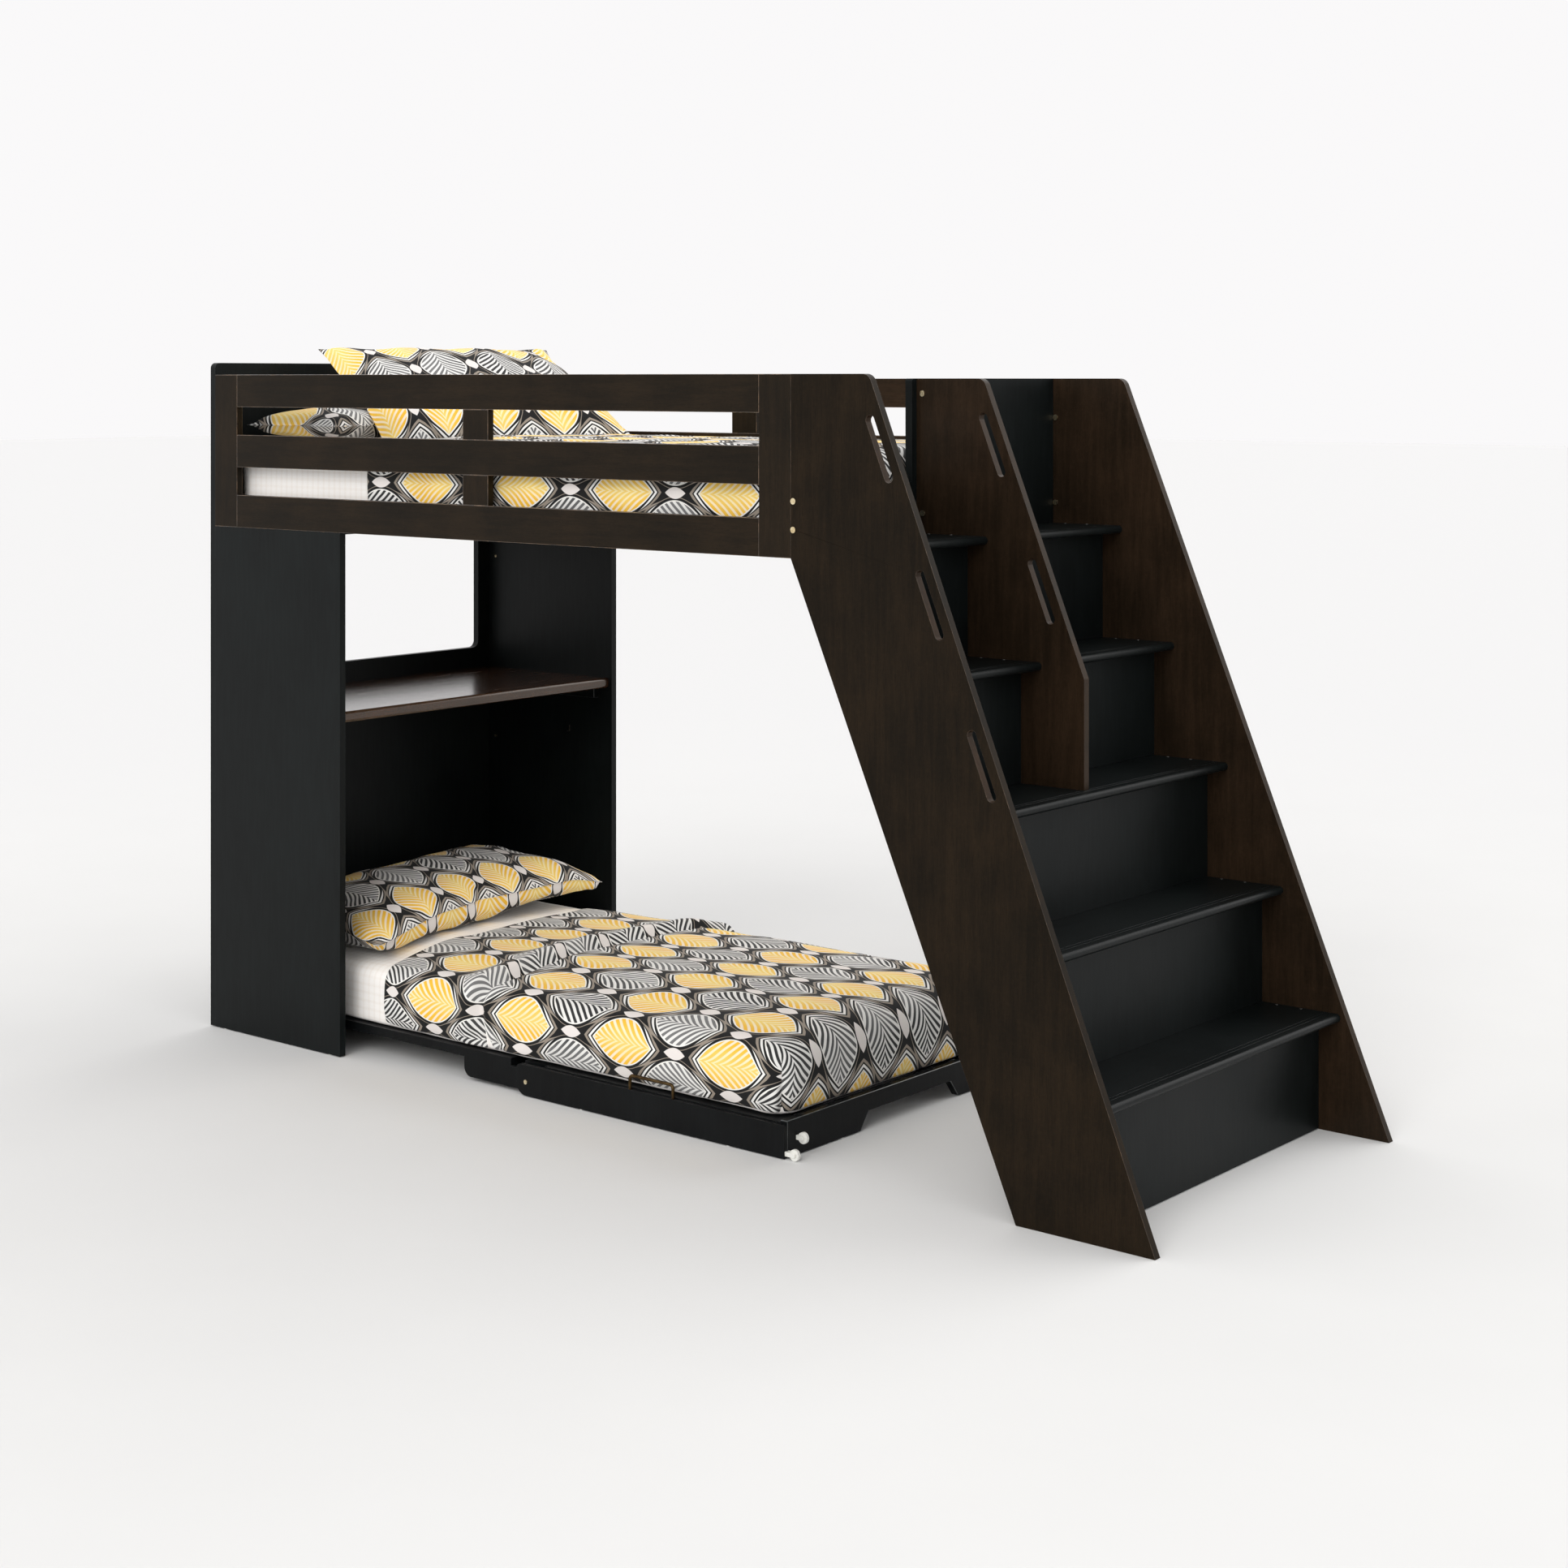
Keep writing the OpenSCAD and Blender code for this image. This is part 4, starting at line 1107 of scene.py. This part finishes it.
def upper_flat_pillow():
    low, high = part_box("upper_pillow_flat")
    centre = (low + high) / 2
    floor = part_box("upper_mattress")[1][2] + 0.004

    def place(p, tu, tv, side):
        return Vector((centre.x + p.x, centre.y + p.y, max(centre.z + 0.012 + p.z, floor)))

    size = (high[0] - low[0], high[1] - low[1], high[2] - low[2] + 0.03)
    return pillow("upper_flat_pillow", size, place, 0.6, (0.05, 0.143), full=0.8)


def upper_propped_pillow():
    centre = Vector((0.398 - SHOP_X, 0.560 - SHOP_Y, 1.560 + 0.147))
    turn = Matrix.Rotation(math.radians(-22), 3, "Z") @ Matrix.Rotation(math.radians(25), 3, "Y")
    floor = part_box("upper_mattress")[1][2] + 0.014

    def place(p, tu, tv, side):
        lean = turn @ Vector((p.x, p.y, p.z - 0.014 * tv**2 + 0.008))
        q = centre + lean
        # the top corners stand up as dog ears, and the foot of it slumps forward
        q.z += 0.012 * ease((abs(tv) - 0.6) / 0.4) * ease((-tu - 0.4) / 0.6)
        q.x += 0.035 * ease((tu + 0.1) / 1.0)
        q.y += 0.045 * ease((tu + 0.9) / 0.7) * ease((tv + 0.3) / 1.3)
        q.z -= 0.035 * ease((tu - 0.1) / 0.9) * (1 - 0.6 * ease((tv - 0.3) / 0.7))
        q.z = max(q.z, floor)
        return q

    return pillow(
        "upper_propped_pillow", (0.520, 0.700, 0.150), place, 0.85, (0.166, 0.0), full=0.8
    )


def make_bedding():
    core = lower_mattress()
    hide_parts("seat_mattress", "back_mattress")
    sheet = fitted_sheet(
        "lower_fitted_sheet", ("seat_mattress", "back_mattress"), 21.0, -0.036, bed_crown
    )
    quilt = lower_comforter()
    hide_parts("seat_comforter", "back_comforter", "fold_bedding")
    for piece in (core, sheet, quilt):
        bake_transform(piece)

    rest = lower_pillow()
    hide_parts("seat_pillow")
    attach(rest, "seat_base")

    core = upper_mattress()
    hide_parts("upper_mattress")
    sheet = fitted_sheet("upper_fitted_sheet", ("upper_mattress",), 31.0, 0.0)
    quilt = upper_comforter()
    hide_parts("upper_comforter")
    for piece in (core, sheet, quilt):
        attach(piece, "loft")
    for piece, node, fill in (
        (upper_flat_pillow(), "upper_pillow_flat", 0.6),
        (upper_propped_pillow(), "upper_pillow_propped", 0.7),
    ):
        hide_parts(node)
        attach(piece, "loft")


make_bedding()

# ---- Stage ----

FLOOR_REACH = 60.0
FLOOR_DROP = 0.0005  # just below the glides' faces


def make_floor():
    mesh = bpy.data.meshes.new("studio_floor")
    r = FLOOR_REACH
    mesh.from_pydata([(-r, -r, 0), (r, -r, 0), (r, r, 0), (-r, r, 0)], [], [(0, 1, 2, 3)])
    obj = add_object("studio_floor", mesh)
    obj.location.z = -FLOOR_DROP
    g = Graph("studio_floor", linear(236, 235, 234), 0.8, Specular_IOR_Level=0.1)
    place = g.place()
    tone = g.cloud(place, 1.6, 3.0)
    # lighter patches round the bed fade out to an even tone far off: painted light
    away = g.term(g.node("ShaderNodeVectorMath", {0: place}, operation="LENGTH"), "Value")
    colour = g.mix(tone, linear(222, 222, 221), linear(227, 227, 226))
    mesh.materials.append(g.finish(g.mix(g.ramp(away, 1.8, 7.5), colour, linear(222, 222, 222))))


def add_light(name, kind, aim, energy):
    data = bpy.data.lights.new(name, kind)
    data.energy = energy
    obj = add_object(name, data)
    obj.rotation_euler = Vector(aim).to_track_quat("-Z", "Y").to_euler()
    return obj


def make_overhead():
    place, target = Vector((1.6, -0.6, 4.6)), Vector((0.4, 0.0, 0.6))
    obj = add_light("overhead", "AREA", target - place, 12)
    obj.location = place
    obj.data.shape = "RECTANGLE"
    obj.data.size, obj.data.size_y = 2.6, 2.0


def make_sun(name, aim, energy, spread_deg):
    obj = add_light(name, "SUN", aim, energy)
    obj.data.angle = math.radians(spread_deg)
    obj.data.color = (1.0, 0.99, 0.97)


def make_world():
    """Pale all round, brightest in a soft ring above the horizon, dimmer overhead."""
    world = bpy.data.worlds.new("studio")
    world.use_nodes = True
    tree = world.node_tree
    coords = tree.nodes.new("ShaderNodeTexCoord")
    parts = tree.nodes.new("ShaderNodeSeparateXYZ")
    ring = tree.nodes.new("ShaderNodeValToRGB")
    tree.links.new(coords.outputs["Generated"], parts.inputs["Vector"])
    tree.links.new(parts.outputs["Z"], ring.inputs["Fac"])
    tree.links.new(ring.outputs["Color"], tree.nodes["Background"].inputs["Color"])
    # (upward part of the direction, brightness)
    stops = ((0.0, 0.955), (0.17, 0.955), (0.27, 1.5), (0.60, 1.35), (0.80, 0.5), (1.0, 0.45))
    marks = ring.color_ramp.elements
    while len(marks) < len(stops):
        marks.new(0.5)
    for mark, (place, level) in zip(marks, stops):
        mark.position = place
        mark.color = (level, level * 0.99, level * 0.995, 1.0)
    bpy.context.scene.world = world


make_floor()
make_world()
make_sun("front", (-0.3, 1.0, -0.7), 1.0, 35)
make_sun("back", (-0.25, -1.0, -1.0), 0.75, 60)
make_overhead()
bpy.context.scene.view_settings.view_transform = "Standard"
